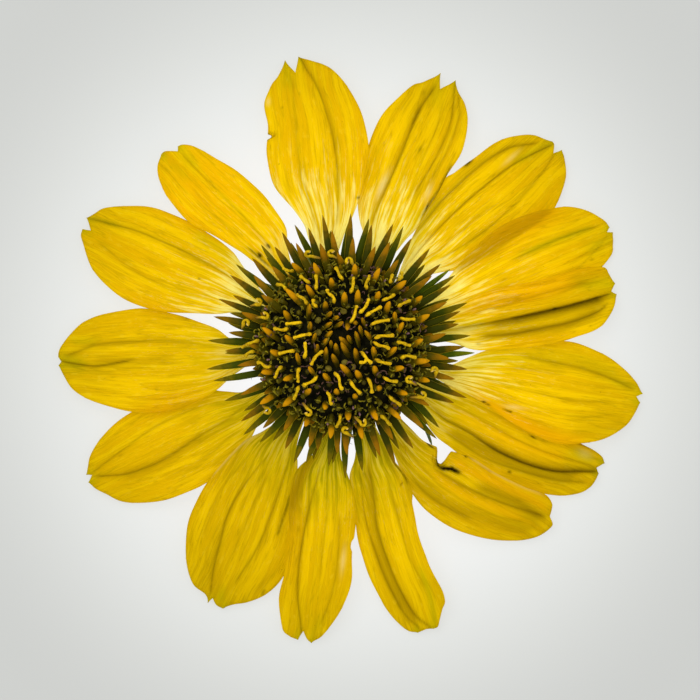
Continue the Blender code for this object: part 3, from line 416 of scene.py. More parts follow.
# The spines, as (x, y) of the tip and (x, y) of the foot that shows, from the crown's middle
SPINES = {
    "middle": (
        (-5.2, 7.0, -5.3, 4.7), (-2.7, 7.4, -2.5, 5.9), (-1.7, 5.7, -2.6, 4.6), (-0.6, 4.9, -1.3, 4.6),
        (-5.1, 4.1, -5.3, 2.3), (-1.6, 4.0, -3.2, 2.9), (0.2, 4.1, -1.0, 3.3), (0.8, 2.7, 0.9, 4.0),
        (2.1, 4.0, 2.0, 3.7), (3.2, 4.8, 3.9, 3.1), (2.8, 3.5, 3.1, 1.9), (3.6, 2.7, 5.1, 1.0),
        (2.1, 2.6, 2.7, 0.3), (0.9, 1.9, 1.5, 0.9), (-0.5, 1.7, 1.3, 0.0), (-0.2, 0.9, 1.1, -1.5),
        (-1.5, 2.6, -3.0, 1.2), (-2.3, 1.4, -3.2, 0.2), (-1.8, 1.1, -1.7, 0.0), (-1.0, 0.7, -0.8, -1.1),
        (-2.5, 0.1, -2.6, -2.4), (-3.9, 0.5, -4.2, -1.0), (-4.2, 2.3, -4.7, 0.7), (-1.6, -1.0, -0.8, -3.0),
        (2.0, -0.1, 2.5, -2.4)),
    "orange": (
        (4.9, 0.1, 5.2, -1.4), (-7.3, -0.9, -7.0, -2.2), (-5.3, -3.1, -4.6, -4.1), (-0.3, -2.7, 0.9, -4.2),
        (2.2, -3.7, 2.8, -4.8), (5.1, -3.0, 5.5, -4.0), (-3.0, -4.2, -2.3, -5.2), (-0.9, -6.7, -0.8, -7.3),
        (-5.0, -6.7, -5.9, -7.5), (2.0, -7.6, 2.1, -8.1), (5.8, -6.4, 6.0, -6.7), (7.7, 7.4, 7.1, 5.8),
        (8.8, 0.0, 7.7, -1.0), (13.1, 1.3, 11.5, 0.4), (14.2, 5.3, 12.1, 4.2), (9.9, 4.0, 9.1, 2.7),
        (13.0, 8.3, 11.5, 7.0), (8.5, 5.7, 8.4, 4.3), (10.4, 10.8, 8.5, 9.2), (6.0, 9.0, 5.5, 7.7),
        (6.1, 12.8, 5.1, 10.7), (2.6, 9.3, 2.5, 7.3), (2.1, 13.5, 2.0, 11.5), (0.4, 8.9, 0.4, 7.1),
        (-1.8, 11.2, -1.7, 9.7), (-4.6, 13.7, -3.5, 11.3), (-5.8, 10.1, -4.7, 8.3), (-8.2, 13.7, -6.5, 11.9),
        (-9.2, 9.5, -6.8, 7.2), (-9.4, 5.9, -8.5, 4.6), (-12.9, 3.2, -11.0, 1.8), (-9.2, 1.9, -8.0, 0.8),
        (-11.6, -0.6, -10.2, -1.1), (-13.1, -4.1, -11.5, -4.0), (-9.5, -5.3, -8.1, -4.8),
        (-13.3, -9.2, -11.2, -7.8), (-9.6, -9.6, -8.1, -8.2), (-6.0, -12.8, -5.4, -11.5),
        (-2.8, -10.0, -2.7, -9.2), (-1.9, -14.8, -1.7, -12.4), (1.0, -11.8, 1.0, -10.5),
        (3.3, -14.9, 2.9, -12.7), (5.7, -11.8, 5.0, -10.2), (9.6, -11.7, 7.7, -10.1), (10.6, -7.6, 9.2, -7.2),
        (14.2, -5.5, 12.4, -5.2), (10.0, -3.3, 8.4, -3.6), (14.2, -2.2, 11.5, -2.4)),
    "russet": (
        (16.9, 2.2, 13.7, 1.2), (17.1, 7.4, 13.8, 5.8), (14.6, 11.6, 11.2, 9.0), (9.2, 14.3, 7.2, 11.3),
        (7.8, 17.2, 5.9, 13.2), (5.4, 16.4, 3.9, 12.8), (1.8, 17.9, 1.7, 14.2), (-0.8, 15.4, 0.3, 13.2),
        (-1.7, 19.1, -0.8, 15.7), (-3.6, 16.9, -2.7, 14.1), (-7.5, 17.0, -5.8, 13.8),
        (-11.4, 13.2, -9.1, 10.4), (-14.4, 11.7, -11.2, 8.2), (-13.1, 8.5, -10.5, 6.5),
        (-16.4, 5.7, -13.8, 4.6), (-15.5, 0.6, -12.8, -0.3), (-17.0, -3.0, -14.3, -2.6),
        (-16.6, -7.8, -13.8, -6.6), (-9.5, -13.6, -8.2, -11.4), (-5.4, -16.3, -4.9, -13.9),
        (-0.8, -17.3, -0.9, -15.4), (0.8, -17.5, 0.6, -15.2), (6.2, -17.8, 5.4, -15.1),
        (8.3, -15.1, 7.4, -13.7), (13.3, -13.2, 11.0, -11.2), (14.2, -9.5, 12.4, -8.7),
        (18.4, -5.2, 16.2, -5.0), (17.5, -1.9, 14.3, -1.5)),
    "brown": (
        (20.0, 0.1, 16.0, -0.7), (19.0, 3.8, 14.3, 2.7), (19.3, 5.9, 15.7, 4.2), (17.7, 10.2, 13.4, 7.4),
        (16.1, 13.6, 13.0, 11.0), (14.3, 16.1, 10.9, 11.7), (11.3, 17.8, 9.2, 13.9), (8.3, 20.1, 5.6, 14.3),
        (4.8, 20.0, 3.8, 13.9), (1.4, 21.8, 0.9, 14.6), (-3.2, 21.6, -2.1, 15.4), (-5.5, 19.5, -4.0, 15.1),
        (-9.8, 18.8, -6.9, 13.3), (-11.0, 16.4, -8.7, 13.1), (-14.7, 14.6, -10.7, 10.2),
        (-18.3, 11.8, -13.6, 8.3), (-17.8, 8.5, -14.7, 7.0), (-20.2, 7.9, -14.4, 5.5),
        (-21.0, 5.0, -16.0, 3.9), (-18.5, 2.4, -14.4, 1.8), (-19.1, -0.6, -15.6, -0.7),
        (-16.5, -12.1, -13.4, -10.1), (-12.9, -13.2, -10.5, -10.8), (-9.3, -16.6, -7.8, -13.0),
        (-4.0, -16.8, -3.9, -14.7), (8.7, -19.3, 7.4, -15.2), (11.6, -16.5, 9.5, -13.4),
        (18.3, -9.1, 14.6, -8.3), (20.4, -8.3, 15.8, -6.5), (20.4, -3.6, 16.0, -3.3)),
    "green": (
        (21.0, 1.9, 16.8, 1.4), (20.5, 7.3, 15.1, 5.1), (18.5, 11.8, 14.4, 9.1), (10.0, 19.8, 7.7, 14.1),
        (4.4, 21.1, 2.6, 14.7), (1.2, 20.8, 0.3, 15.1), (-7.8, 20.1, -5.1, 15.6), (-13.3, 16.8, -10.3, 12.7),
        (-17.4, 13.6, -14.1, 11.0), (-22.0, 1.1, -15.6, 0.9), (-22.2, -3.6, -16.7, -2.8),
        (-21.1, -5.5, -15.0, -4.5), (-19.3, -8.8, -15.0, -7.8), (-16.2, -14.4, -12.4, -11.3),
        (-13.5, -15.6, -9.9, -12.0), (-7.9, -18.9, -6.5, -15.0), (-5.9, -19.0, -4.4, -15.7),
        (-2.2, -19.5, -1.8, -15.3), (0.5, -21.5, 0.5, -16.8), (3.3, -20.3, 2.8, -16.8),
        (15.5, -15.0, 13.6, -13.4), (15.9, -13.2, 13.0, -9.8)),
    "leafy": ((17.7, 12.8, 13.4, 9.4), (21.8, -0.9, 16.1, -1.3)),
    "bud": (
        (0.2, 5.8, 0.2, 5.6), (-3.8, 4.5, -3.8, 4.3), (-3.8, 2.4, -3.8, 2.2), (-2.1, -3.3, -2.1, -3.5),
        (0.4, -2.4, 0.4, -2.6), (1.7, -3.1, 1.7, -3.3)),
}
# For each kind: its colour's place in the material, its width, how keen it is, how far its root
# lies past the foot that shows, the distance of its root from the axis at most, and its tip's
# heights as (distance from the axis, height)
SPINE_KINDS = {
    "middle": (0.00, 1.04, 0.35, 0.35, 13.0, ((0, 23.6), (2, 24.2), (5, 24.8), (8, 24.6))),
    "orange": (0.15, 1.08, 0.28, 0.7, 13.0, ((3, 25.2), (6, 25.2), (9, 24.3), (12, 22.6), (15, 20.4))),
    "russet": (0.30, 1.22, 0.85, 0.5, 11.6, ((13, 20.6), (15, 19.4), (17, 18.0), (19, 17.0))),
    "brown": (0.45, 1.28, 1.0, 0.35, 12.5, ((16, 17.0), (19, 16.0), (22, 14.9))),
    "green": (0.60, 1.24, 1.0, 0.35, 12.9, ((16, 15.0), (19, 14.2), (22, 13.2))),
    "leafy": (0.75, 1.1, 1.0, 0.35, 12.9, ((16, 12.0), (22, 12.2))),
    "bud": (0.90, 1.25, 0.0, 0.35, 13.0, ((0, 23.4), (6, 23.0))),
}
CORE_SIDES = 72
CORE_ROUGHNESS = 0.12
SPINE_ARCH = 0.7
SPINE_SIDES = 12
SPINE_STEPS = np.array([0, 0.05, 0.14, 0.26, 0.38, 0.5, 0.61, 0.71, 0.8, 0.87, 0.93, 0.97, 1])
SUNK_ROOT = 0.8
# A spine's outline when blunt and when keen, as shares of its width at shares of its length
OUTLINE_AT = (0, 0.12, 0.3, 0.5, 0.68, 0.82, 0.92, 1)
BLUNT_OUTLINE = (0.4, 0.55, 0.8, 0.97, 1.0, 0.86, 0.58, 0)
KEEN_OUTLINE = (0.8, 0.95, 1.0, 0.97, 0.80, 0.56, 0.32, 0)
# The height that the roots stay below, and the lengths of the low spines and of those under the rim
ROOTS_BELOW = 22.2
LOW_SPINE_LENGTHS = (2.9, 3.9)
UNDER_SPINE_LENGTH = 7.0

# The styles' lying parts, from the crown's middle: (x, y) of one end and then of the other
STYLES = (
    (-1.2, 12.9, 0.1, 11.0), (-9.7, 12.7, -8.0, 12.4), (-6.8, 11.5, -5.3, 10.4), (-4.2, 11.7, -4.2, 9.4),
    (2.0, 11.3, 1.4, 8.9), (4.2, 11.7, 4.0, 9.5), (8.2, 11.8, 7.8, 10.5), (9.8, 12.1, 9.2, 10.9),
    (-10.6, 10.3, -9.1, 9.4), (-2.3, 9.4, -1.3, 7.3), (-7.2, 8.7, -5.7, 7.0), (-4.7, 7.6, -4.1, 6.6),
    (8.5, 8.6, 6.6, 7.6), (4.5, 7.8, 2.9, 5.6), (2.6, 6.7, 1.4, 4.1), (6.4, 6.6, 3.9, 5.1),
    (11.1, 7.6, 9.1, 6.6), (-9.1, 3.7, -6.7, 4.0), (-11.0, 2.8, -8.8, 3.0), (7.7, 4.5, 4.8, 3.7),
    (9.5, 4.7, 11.8, 4.4), (8.4, 2.1, 5.4, 1.5), (-5.1, 2.1, -7.9, 1.5), (5.2, 0.8, 7.7, -0.4),
    (9.0, 0.8, 11.1, 0.3), (-5.7, 0.9, -6.1, -1.7), (-16.4, -0.1, -13.6, 1.1), (-3.2, -0.7, -5.1, -2.9),
    (-7.8, -0.6, -10.3, -1.0), (-15.8, -1.4, -14.3, -0.7), (3.2, -0.8, 4.8, -2.7), (2.9, -2.6, 3.9, -2.0),
    (12.0, -1.4, 9.6, -1.7), (5.5, -2.0, 8.0, -2.7), (-13.8, -2.6, -11.6, -3.1), (-9.8, -3.2, -11.0, -4.9),
    (-6.9, -3.5, -7.2, -5.7), (-1.2, -4.2, 0.3, -6.8), (-4.1, -4.8, -6.2, -6.4), (4.2, -5.1, 4.9, -7.4),
    (1.4, -5.5, 2.9, -7.6), (6.8, -4.9, 9.0, -5.5), (-7.0, -6.4, -7.8, -8.5), (-2.4, -7.3, -1.5, -9.2),
    (7.7, -8.0, 9.5, -9.5), (-0.3, -11.1, -0.8, -13.0), (6.3, -11.1, 8.0, -12.6))
# The curled ones: (x, y) of the curl's middle, and of the other end
CURLED_STYLES = (
    (-5.5, 15.1, -3.5, 14.4), (-1.8, 15.2, -0.8, 14.4), (1.1, 14.0, 1.9, 13.1), (-13.5, 7.3, -14.9, 6.7),
    (-15.6, 4.0, -16.3, 3.0), (-12.4, 5.1, -13.9, 4.8), (0.5, -13.4, 1.8, -14.6), (-5.4, -10.5, -6.3, -9.0),
    (-12.1, -10.3, -12.9, -9.5), (3.4, -12.2, 2.0, -11.2), (10.8, -5.2, 12.0, -6.1), (15.0, -3.7, 15.1, -5.0),
    (13.1, -7.8, 11.0, -8.1))
# How high the styles lie, as (distance from the axis, height)
STYLE_HEIGHTS = ((0, 24.6), (3, 24.9), (6, 24.8), (9, 23.6), (12, 21.4), (15, 18.8), (18, 17.0))
STYLE_WIDTH = 0.49
STYLE_RISE = 1.6
STYLE_ARCH = 0.25
STYLE_BOW = 0.26
CURL_RADIUS = 0.42
CURL_TURN = (0.45, 5.4)
# A floret's length at the top, its growth to the rim, how far it is sunk, and how far it is moved
# up the slope, from its place on the spiral
FLORET_LENGTH = 1.0
FLORET_GROWTH = 0.9
SUNK_FLORET = 0.4
FLORET_MOVE = 0.95
LOBES = 5
ANTHER_LENGTH = 0.8
# The widths of a floret's tube, lobes and anther along their lengths, and the anthers' share
TUBE_WIDTHS = np.array([0, 0.62, 0.66, 0.68, 0.72, 0.8, 0.85, 0])
LOBE_WIDTHS = 0.26 * np.array([0, 0.9, 1.1, 1.15, 1.15, 1, 0.8, 0])
ANTHER_WIDTHS = 0.34 * np.array([0, 0.8, 1, 1, 1, 1, 0.8, 0])
ANTHER_SHARE = 0.16

# The green piece, with the same values as the CAD part
GREEN_PROFILE = ((2.6, 0), (2.4, 3), (2.7, 6), (4.6, 7.2), (7.4, 7.7), (8.6, 8.7),
                 (8.2, 9.8), (7.0, 10), (6.4, 10.8), (0, 10.9))
# Its cut end, before the profile, and the count of its sides
CUT_END = ((0.9, 0.35), (1.3, 0.12), (2.2, 0.0))
STUB_SIDES = 96
# Each row's count of bracts, reach from the axis, and heights of roots and tips
BRACT_ROWS = ((13, 17.0, 7.6, 6.2), (13, 14.5, 8.7, 8.0))
BRACT_ROOT = 5.8
BRACT_WIDTH = 3.0
BRACT_THICKNESS = 0.9
BRACT_STEPS = np.linspace(0, 1, 16)
# A bract's outline, as (share of the way along, share of its width)
BRACT_OUTLINE = ((0, 0.7), (0.15, 0.85), (0.4, 1.0), (0.65, 0.72), (0.85, 0.36), (0.95, 0.16), (1, 0))
HAIRS = 16
HAIR_LENGTHS = (0.35, 0.7)
HAIR_WIDTHS = [0, 0.07, 0.05, 0]
# A long one that shows in a gap, as (x, y) points from the axis
LONG_BRACT = ((8.0, -7.6), (11.5, -10.0), (13.1, -11.9), (14.1, -14.2), (14.9, -16.4))
LONG_BRACT_WIDTH = 0.75
LONG_BRACT_HEIGHT = 8.0

# The camera, straight above, and the plane that the picture's scale holds at
CAMERA_X = 0.0
CAMERA_Y = -0.02
PICTURE_PLANE = 5.0
CAMERA_RISE = 597.0
HALF_PICTURE = 58.333
LENS_RISE = 600.0

# The light and the floor, in metres
SKY_STRENGTH = 1.1
LIGHT_PLACE = (-0.25, 0.3, 0.75)
LIGHT_SIZE = 0.6
LIGHT_WATTS = 3.0
FLOOR_REACH = 3.0


def smooth_step(value, start, end):
    share = np.clip((value - start) / (end - start), 0, 1)
    return share * share * (3 - 2 * share)


def hermite(start, end, slope_start, slope_end, t):
    return ((2 * t ** 3 - 3 * t ** 2 + 1) * start + (t ** 3 - 2 * t ** 2 + t) * slope_start
            + (3 * t ** 2 - 2 * t ** 3) * end + (t ** 3 - t ** 2) * slope_end)


def curve_through(points, at, last_slope=None):
    """The smooth curve through (x, y) points, read at each x, and held level past its ends."""
    xs, ys = np.array(points, float).T
    inner = (ys[2:] - ys[:-2]) / (xs[2:] - xs[:-2])
    if last_slope is None:
        last_slope = (ys[-1] - ys[-2]) / (xs[-1] - xs[-2])
    slopes = np.concatenate([[(ys[1] - ys[0]) / (xs[1] - xs[0])], inner, [last_slope]])
    at = np.clip(at, xs[0], xs[-1])
    i = np.clip(np.searchsorted(xs, at, side="right") - 1, 0, len(xs) - 2)
    width = xs[i + 1] - xs[i]
    return hermite(ys[i], ys[i + 1], slopes[i] * width, slopes[i + 1] * width, (at - xs[i]) / width)


def unit(vectors):
    return vectors / np.linalg.norm(vectors, axis=-1, keepdims=True)


# Petals

def edge_of(petal, side):
    """One edge as (x, y) points, from the root to its shoulder on the tip's outline."""
    shoulder_y, shoulder_x = petal["tip"][0 if side == "left" else -1]
    points = [(x, y) for x, y in zip(STATIONS, petal[side]) if x < shoulder_x]
    return points + [(shoulder_x, shoulder_y)]


def shoulder_ways(petal):
    """The outline's (y, reach) direction at the left and at the right shoulder, turning into the tip."""
    ways = []
    for side, near, next_one in (("left", 0, 1), ("right", -1, -2)):
        (x0, y0), (x1, y1) = edge_of(petal, side)[-2:]
        tip = np.array(petal["tip"], float)
        ways.append(unit(unit(np.array([y1 - y0, x1 - x0])) + unit(tip[next_one] - tip[near])))
    return ways


def tip_line(tip, ways):
    """The tip's outline as fine (y, reach) points: smooth, but sharp at teeth and notches."""
    points = np.array(tip, float)
    reach = points[:, 1]
    last = len(points) - 1
    fine = [points[0]]
    for k in range(last):
        step = points[k + 1] - points[k]
        slopes = []
        for j in (k, k + 1):
            if j == 0:
                slopes.append(ways[0] * np.linalg.norm(step))
            elif j == last:
                slopes.append(-ways[1] * np.linalg.norm(step))
            elif (reach[j] - reach[j - 1]) * (reach[j + 1] - reach[j]) < 0:
                slopes.append(step * TOOTH_FLANK if reach[j] > reach[j - 1] else step)
            else:
                slopes.append((points[j + 1] - points[j - 1]) / 2)
        count = max(2, round(abs(step[0]) / COLUMN_PITCH))
        for t in np.linspace(0, 1, count + 1)[1:]:
            fine.append(hermite(points[k], points[k + 1], slopes[0], slopes[1], t))
    return np.array(fine).T


def side_width(width, offset):
    """A line's width at each offset from it: one value, or one for its left and its right."""
    if isinstance(width, tuple):
        return np.where(offset > 0, width[0], width[1])
    return width


def paint(petal, x, y):
    """How strongly each kind of mark shows at each point of the petal."""
    amounts = {kind: np.zeros_like(x) for kind in ("fold", "stain_and_shade", "pale", "green", "shade", "gold")}
    for kind, strength, width, points in petal["marks"]:
        start, end = points[0][0], points[-1][0]
        offset = y - curve_through(points, x)
        ends = smooth_step(x, start - MARK_STARTS, start + MARK_STARTS)
        ends = ends * (1 - smooth_step(x, end - MARK_ENDS, end + MARK_ENDS))
        away = offset / side_width(width, offset)
        shape = np.exp(-away ** 2)
        if kind == "fold":
            shape = (1 - CORE_SHARE) * shape + CORE_SHARE * np.exp(-(away / FOLD_CORE) ** 2)
        amount = strength * ends * shape
        amounts[kind] = np.maximum(amounts[kind], amount)
    for kind, strength, spot_x, spot_y, long, wide in petal["spots"]:
        amount = strength * np.exp(-((x - spot_x) / long) ** 2 - ((y - spot_y) / wide) ** 2)
        amounts[kind] = np.maximum(amounts[kind], amount)
    for before, (tooth_y, tooth_x), after in zip(petal["tip"], petal["tip"][1:], petal["tip"][2:]):
        if tooth_x > max(before[1], after[1]):
            away = ((x - tooth_x) / TOOTH_LENGTH) ** 2 + ((y - tooth_y) / TOOTH_WIDTH) ** 2
            amounts["green"] = np.maximum(amounts["green"], TOOTH_GREEN * np.exp(-away))
    return amounts


def petal_edges(petal, x, ways, rng):
    """The y of the left and of the right edge at each x, both gently waved."""
    left, right = (curve_through(edge_of(petal, side), x, way[0] / max(way[1], 0.3))
                   for side, way in zip(("left", "right"), ways))
    for turns in MARGIN_TURNS:
        wave = MARGIN_WAVE * smooth_step(x, WAVE_STARTS, WAVE_ENDS) / turns ** 0.5
        phase = x / FULL_LENGTH * turns * 2 * math.pi
        left = left + wave * np.sin(phase + rng.uniform(0, 6.28))
        right = right + wave * np.sin(phase + rng.uniform(0, 6.28))
    return left, right


def cut_nicks(petal, x, y, left, right, share):
    """The flat points, drawn back from the left edge where the petal is nicked or torn."""
    for middle, depth, half_length, lean in petal.get("nicks", ()):
        cut = depth * np.exp(-((x - middle) / half_length) ** 4)
        grip = np.clip(0.8 * (left - right) / abs(depth), 1.0, 6.0)
        y = y - cut * share ** grip
        x = x + lean * np.clip(left - y, 0, abs(depth)) * np.exp(-((x - middle) / 4) ** 2)
    return x, y


def raised(petal, x, y, across, fold, rng):
    """The flat points in the part's frame, with the petal's sag, margins, grooves, folds and ribs."""
    root, heading = math.radians(petal["root"]), math.radians(petal["heading"])
    from_axis_x = ROOT_RADIUS * math.cos(root) + x * math.cos(heading) - y * math.sin(heading)
    from_axis_y = ROOT_RADIUS * math.sin(root) + x * math.sin(heading) + y * math.cos(heading)
    lift = np.where(across > 0, *petal["lift"]) * MARGIN_LIFT * np.abs(across) ** MARGIN_BEND
    for groove in petal["grooves"]:
        lift = lift - GROOVE_DEPTH * np.exp(-((across - groove) / GROOVE_WIDTH) ** 2)
    grown = smooth_step(x, LIFT_STARTS, LIFT_ENDS)
    height = curve_through(SAG, np.hypot(from_axis_x, from_axis_y)) + lift * grown
    height -= FOLD_DEPTH * fold * grown
    for count, depth in RIBS:
        rib = np.sin(across * count * math.pi + rng.uniform(0, 6.28))
        height += depth * rib * grown * (1 - across ** 2)
    return np.stack([CONE_X + from_axis_x, CONE_Y + from_axis_y, height], axis=2)


def petal_sheet(petal, rng):
    """The petal's middle surface, its outward direction, and what is painted on it."""
    ways = shoulder_ways(petal)
    tip_y, reach = tip_line(petal["tip"], ways)
    share = ((tip_y - tip_y[-1]) / (tip_y[0] - tip_y[-1]))[None, :]
    along = np.linspace(0, 1, PETAL_ROWS)
    for middle, _, half_length, _ in petal.get("nicks", ()):
        near = (middle + np.linspace(-3, 3, NICK_ROWS) * half_length) / petal["tip"][0][1]
        along = np.unique(np.concatenate([along, near]))
    x = along[:, None] * reach[None, :]
    left, right = petal_edges(petal, x, ways, rng)
    y = right + share * (left - right)
    x, y = cut_nicks(petal, x, y, left, right, share)
    across = np.broadcast_to(2 * share - 1, x.shape)
    amounts = paint(petal, x, y)
    surface = raised(petal, x, y, across, amounts["fold"], rng)

    up = unit(np.cross(np.gradient(surface, axis=1), np.gradient(surface, axis=0)))
    to_margin = np.minimum(1 - np.abs(across), (1 - along[:, None]) * 3)
    widest = max(left_y - right_y for left_y, right_y in zip(petal["left"], petal["right"]))
    seen_share = (y - right) / (left - right)
    vein_place = (seen_share - 0.5) * widest * (1 - LOOSE_VEINS) + y * LOOSE_VEINS
    return surface, up, x, vein_place, to_margin, amounts


def closed_blade(surface, up, half):
    """Points and faces of the closed blade round a middle surface of rows and columns."""
    rows, columns = surface.shape[:2]
    top = surface + up * half[..., None]
    bottom = surface - up * half[..., None]
    points = np.concatenate([top.reshape(-1, 3), bottom.reshape(-1, 3)])
    index = np.arange(rows * columns).reshape(rows, columns)
    under = index + rows * columns
    faces = [np.stack([index[:-1, :-1], index[1:, :-1], index[1:, 1:], index[:-1, 1:]], axis=2),
             np.stack([under[:-1, :-1], under[:-1, 1:], under[1:, 1:], under[1:, :-1]], axis=2)]
    faces = [block.reshape(-1, 4) for block in faces]
    loop = np.concatenate([index[0, :-1], index[:-1, -1], index[-1, :0:-1], index[:0:-1, 0]])
    after = np.roll(loop, -1)
    offset = rows * columns
    faces.append(np.stack([loop, after, after + offset, loop + offset], axis=1))
    return points, np.concatenate(faces)


def new_mesh(name, points, faces, material):
    """A mesh object from points in millimetres, smooth shaded."""
    mesh = bpy.data.meshes.new(name)
    mesh.from_pydata((np.asarray(points) * MM).tolist(), [], [list(face) for face in faces])
    mesh.materials.append(material)
    mesh.shade_smooth()
    mesh.update()
    piece = bpy.data.objects.new(name, mesh)
    bpy.context.scene.collection.objects.link(piece)
    return piece


def give_colours(piece, name, channels):
    """Stores up to three values as one colour attribute, each one number or one for each point."""
    values = np.ones((len(piece.data.vertices), 4), np.float32)
    for column, channel in enumerate(channels):
        values[:, column] = channel
    attribute = piece.data.attributes.new(name, "FLOAT_COLOR", "POINT")
    attribute.data.foreach_set("color", values.ravel())


def give_uv(piece, name, u, v):
    corners = np.empty(len(piece.data.loops), int)
    piece.data.loops.foreach_get("vertex_index", corners)
    layer = piece.data.uv_layers.new(name=name)
    layer.data.foreach_set("uv", np.stack([u[corners], v[corners]], axis=1).ravel())


def make_petal(name, petal, number, material):
    rng = random.Random(number)
    surface, up, x, vein_place, to_margin, amounts = petal_sheet(petal, rng)
    thin = smooth_step(to_margin, 0, MARGIN_SHARE)
    half = (MARGIN_THICKNESS + (BLADE_THICKNESS - MARGIN_THICKNESS) * thin) / 2
    points, faces = closed_blade(surface, up, half)
    piece = new_mesh(f"ray_{number:02d}", points, faces, material)
    twice = {kind: np.tile(amount.ravel(), 2) for kind, amount in amounts.items()}
    give_colours(piece, "marks", (twice["fold"], twice["stain_and_shade"], twice["pale"]))
    margin = np.tile((1 - smooth_step(to_margin, 0.0, DARK_MARGIN)).ravel(), 2)
    give_colours(piece, "tints", (twice["green"], twice["shade"], margin))
    give_colours(piece, "tones", (0.5 + petal["tone"] / 2, petal["shine"]))
    give_colours(piece, "bases", (petal["cream"], petal["dusk"], twice["gold"]))
    give_uv(piece, "petal_uv", np.tile(x.ravel(), 2) / PATTERN_LENGTH,
            np.tile(vein_place.ravel(), 2) / PATTERN_LENGTH + number * PATTERN_SHIFT)
    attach(piece, "root")
    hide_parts(name)


# Materials

class Nodes:
    """Short calls for one material's nodes."""

    def __init__(self, name):
        self.material = bpy.data.materials.new(name)
        self.material.use_nodes = True
        self.tree = self.material.node_tree
        self.tree.nodes.clear()

    def put(self, socket, value):
        if isinstance(value, bpy.types.NodeSocket):
            self.tree.links.new(value, socket)
        elif isinstance(value, tuple) and len(value) == 3 and socket.type == "RGBA":
            socket.default_value = (*value, 1)
        else:
            socket.default_value = value

    def add(self, kind, settings=None, **inputs):
        node = self.tree.nodes.new("ShaderNode" + kind)
        for key, value in (settings or {}).items():
            setattr(node, key, value)
        for key, value in inputs.items():
            self.put(node.inputs[key.replace("_", " ")], value)
        return node

    def math(self, operation, first, second=0.0):
        node = self.add("Math", {"operation": operation})
        self.put(node.inputs[0], first)
        self.put(node.inputs[1], second)
        return node.outputs[0]

    def times(self, first, second):
        return self.math("MULTIPLY", first, second)

    def sum_of(self, first, *others):
        for other in others:
            first = self.math("ADD", first, other)
        return first

    def range(self, value, low, high, to_low=0.0, to_high=1.0):
        node = self.add("MapRange", {"interpolation_type": "SMOOTHSTEP"}, Value=value)
        for key, number in zip(("From Min", "From Max", "To Min", "To Max"), (low, high, to_low, to_high)):
            self.put(node.inputs[key], number)
        return node.outputs[0]

    def all_of(self, first, *others):
        """The product of smooth steps, each given as the arguments of range."""
        share = self.range(*first)
        for other in others:
            share = self.times(share, self.range(*other))
        return share

    def mix(self, share, first, second, blend="MIX"):
        node = self.add("Mix", {"data_type": "RGBA", "blend_type": blend})
        self.put(node.inputs[0], share)
        self.put(node.inputs[6], first)
        self.put(node.inputs[7], second)
        return node.outputs[2]

    def tinted(self, colour, other, value, low, high, most=1.0):
        """The first colour, turned towards the other one as the value runs from low to high."""
        return self.mix(self.range(value, low, high, 0.0, most), colour, other)

    def ramp(self, value, *colours):
        """Evenly spaced colours, 0.15 apart, that a value picks from."""
        node = self.add("ValToRGB", Fac=value)
        elements = node.color_ramp.elements
        elements[1].position = 0.15 * (len(colours) - 1)
        for number in range(1, len(colours) - 1):
            elements.new(0.15 * number)
        for element, colour in zip(elements, colours):
            element.color = (*colour, 1)
        return node.outputs[0]

    def noise(self, place, stretch, detail=3.0, roughness=0.55):
        moved = self.add("VectorMath", {"operation": "MULTIPLY"})
        self.put(moved.inputs[0], place)
        self.put(moved.inputs[1], stretch)
        node = self.add("TexNoise", Vector=moved.outputs[0], Scale=1.0, Detail=detail, Roughness=roughness)
        return node.outputs[0]

    def object_place(self):
        return self.add("TexCoord").outputs["Object"]

    def grain(self, fineness, detail):
        """Noise of the same fineness all ways."""
        return self.noise(self.object_place(), (fineness, fineness, fineness), detail)

    def channels(self, name):
        attribute = self.add("Attribute", {"attribute_name": name})
        return self.add("SeparateColor", Color=attribute.outputs["Color"]).outputs[:3]

    def bump(self, height, distance, strength=1.0):
        return self.add("Bump", Height=height, Distance=distance * MM, Strength=strength).outputs[0]

    def skin(self, colour, roughness, normal, specular):
        node = self.add("BsdfPrincipled", Base_Color=colour, Roughness=roughness, Normal=normal)
        node.inputs["Specular IOR Level"].default_value = specular
        return node

    def finish(self, shader):
        output = self.add("OutputMaterial")
        self.tree.links.new(shader, output.inputs["Surface"])
        return self.material


def petal_ground(nodes, place, tone, gold, medium, veins):
    """A petal's yellow, streaked along its veins."""
    broad = nodes.noise(place, (5.0, 75.0, 1.0), 3.0)
    blotches = nodes.noise(place, (45.0, 90.0, 1.0), 4.0, 0.6)
    from_middle = nodes.math("ABSOLUTE", nodes.math("SUBTRACT", broad, 0.5))
    colour = nodes.mix(tone, (0.72, 0.51, 0.0003), (0.90, 0.52, 0.0002))
    for value, low, high, most, other in (
            (broad, 0.40, 0.62, 1.0, (0.91, 0.625, 0.0005)),
            (medium, 0.52, 0.66, 0.45, (0.62, 0.41, 0.0003)),
            (veins, 0.53, 0.66, 0.4, (0.54, 0.355, 0.0003)),
            (veins, 0.46, 0.34, 0.4, (0.98, 0.72, 0.004)),
            (blotches, 0.56, 0.72, 0.35, (1.0, 0.76, 0.02)),
            # The last row paints thin dark lines where the broad streaks cross their middle: painted shade of
            # fine creases.
            (from_middle, 0.022, 0.0, 0.42, (0.42, 0.28, 0.0003))):
        colour = nodes.tinted(colour, other, value, low, high, most)
    return nodes.mix(nodes.times(gold, 0.7), colour, (1.0, 0.57, 0.0004))


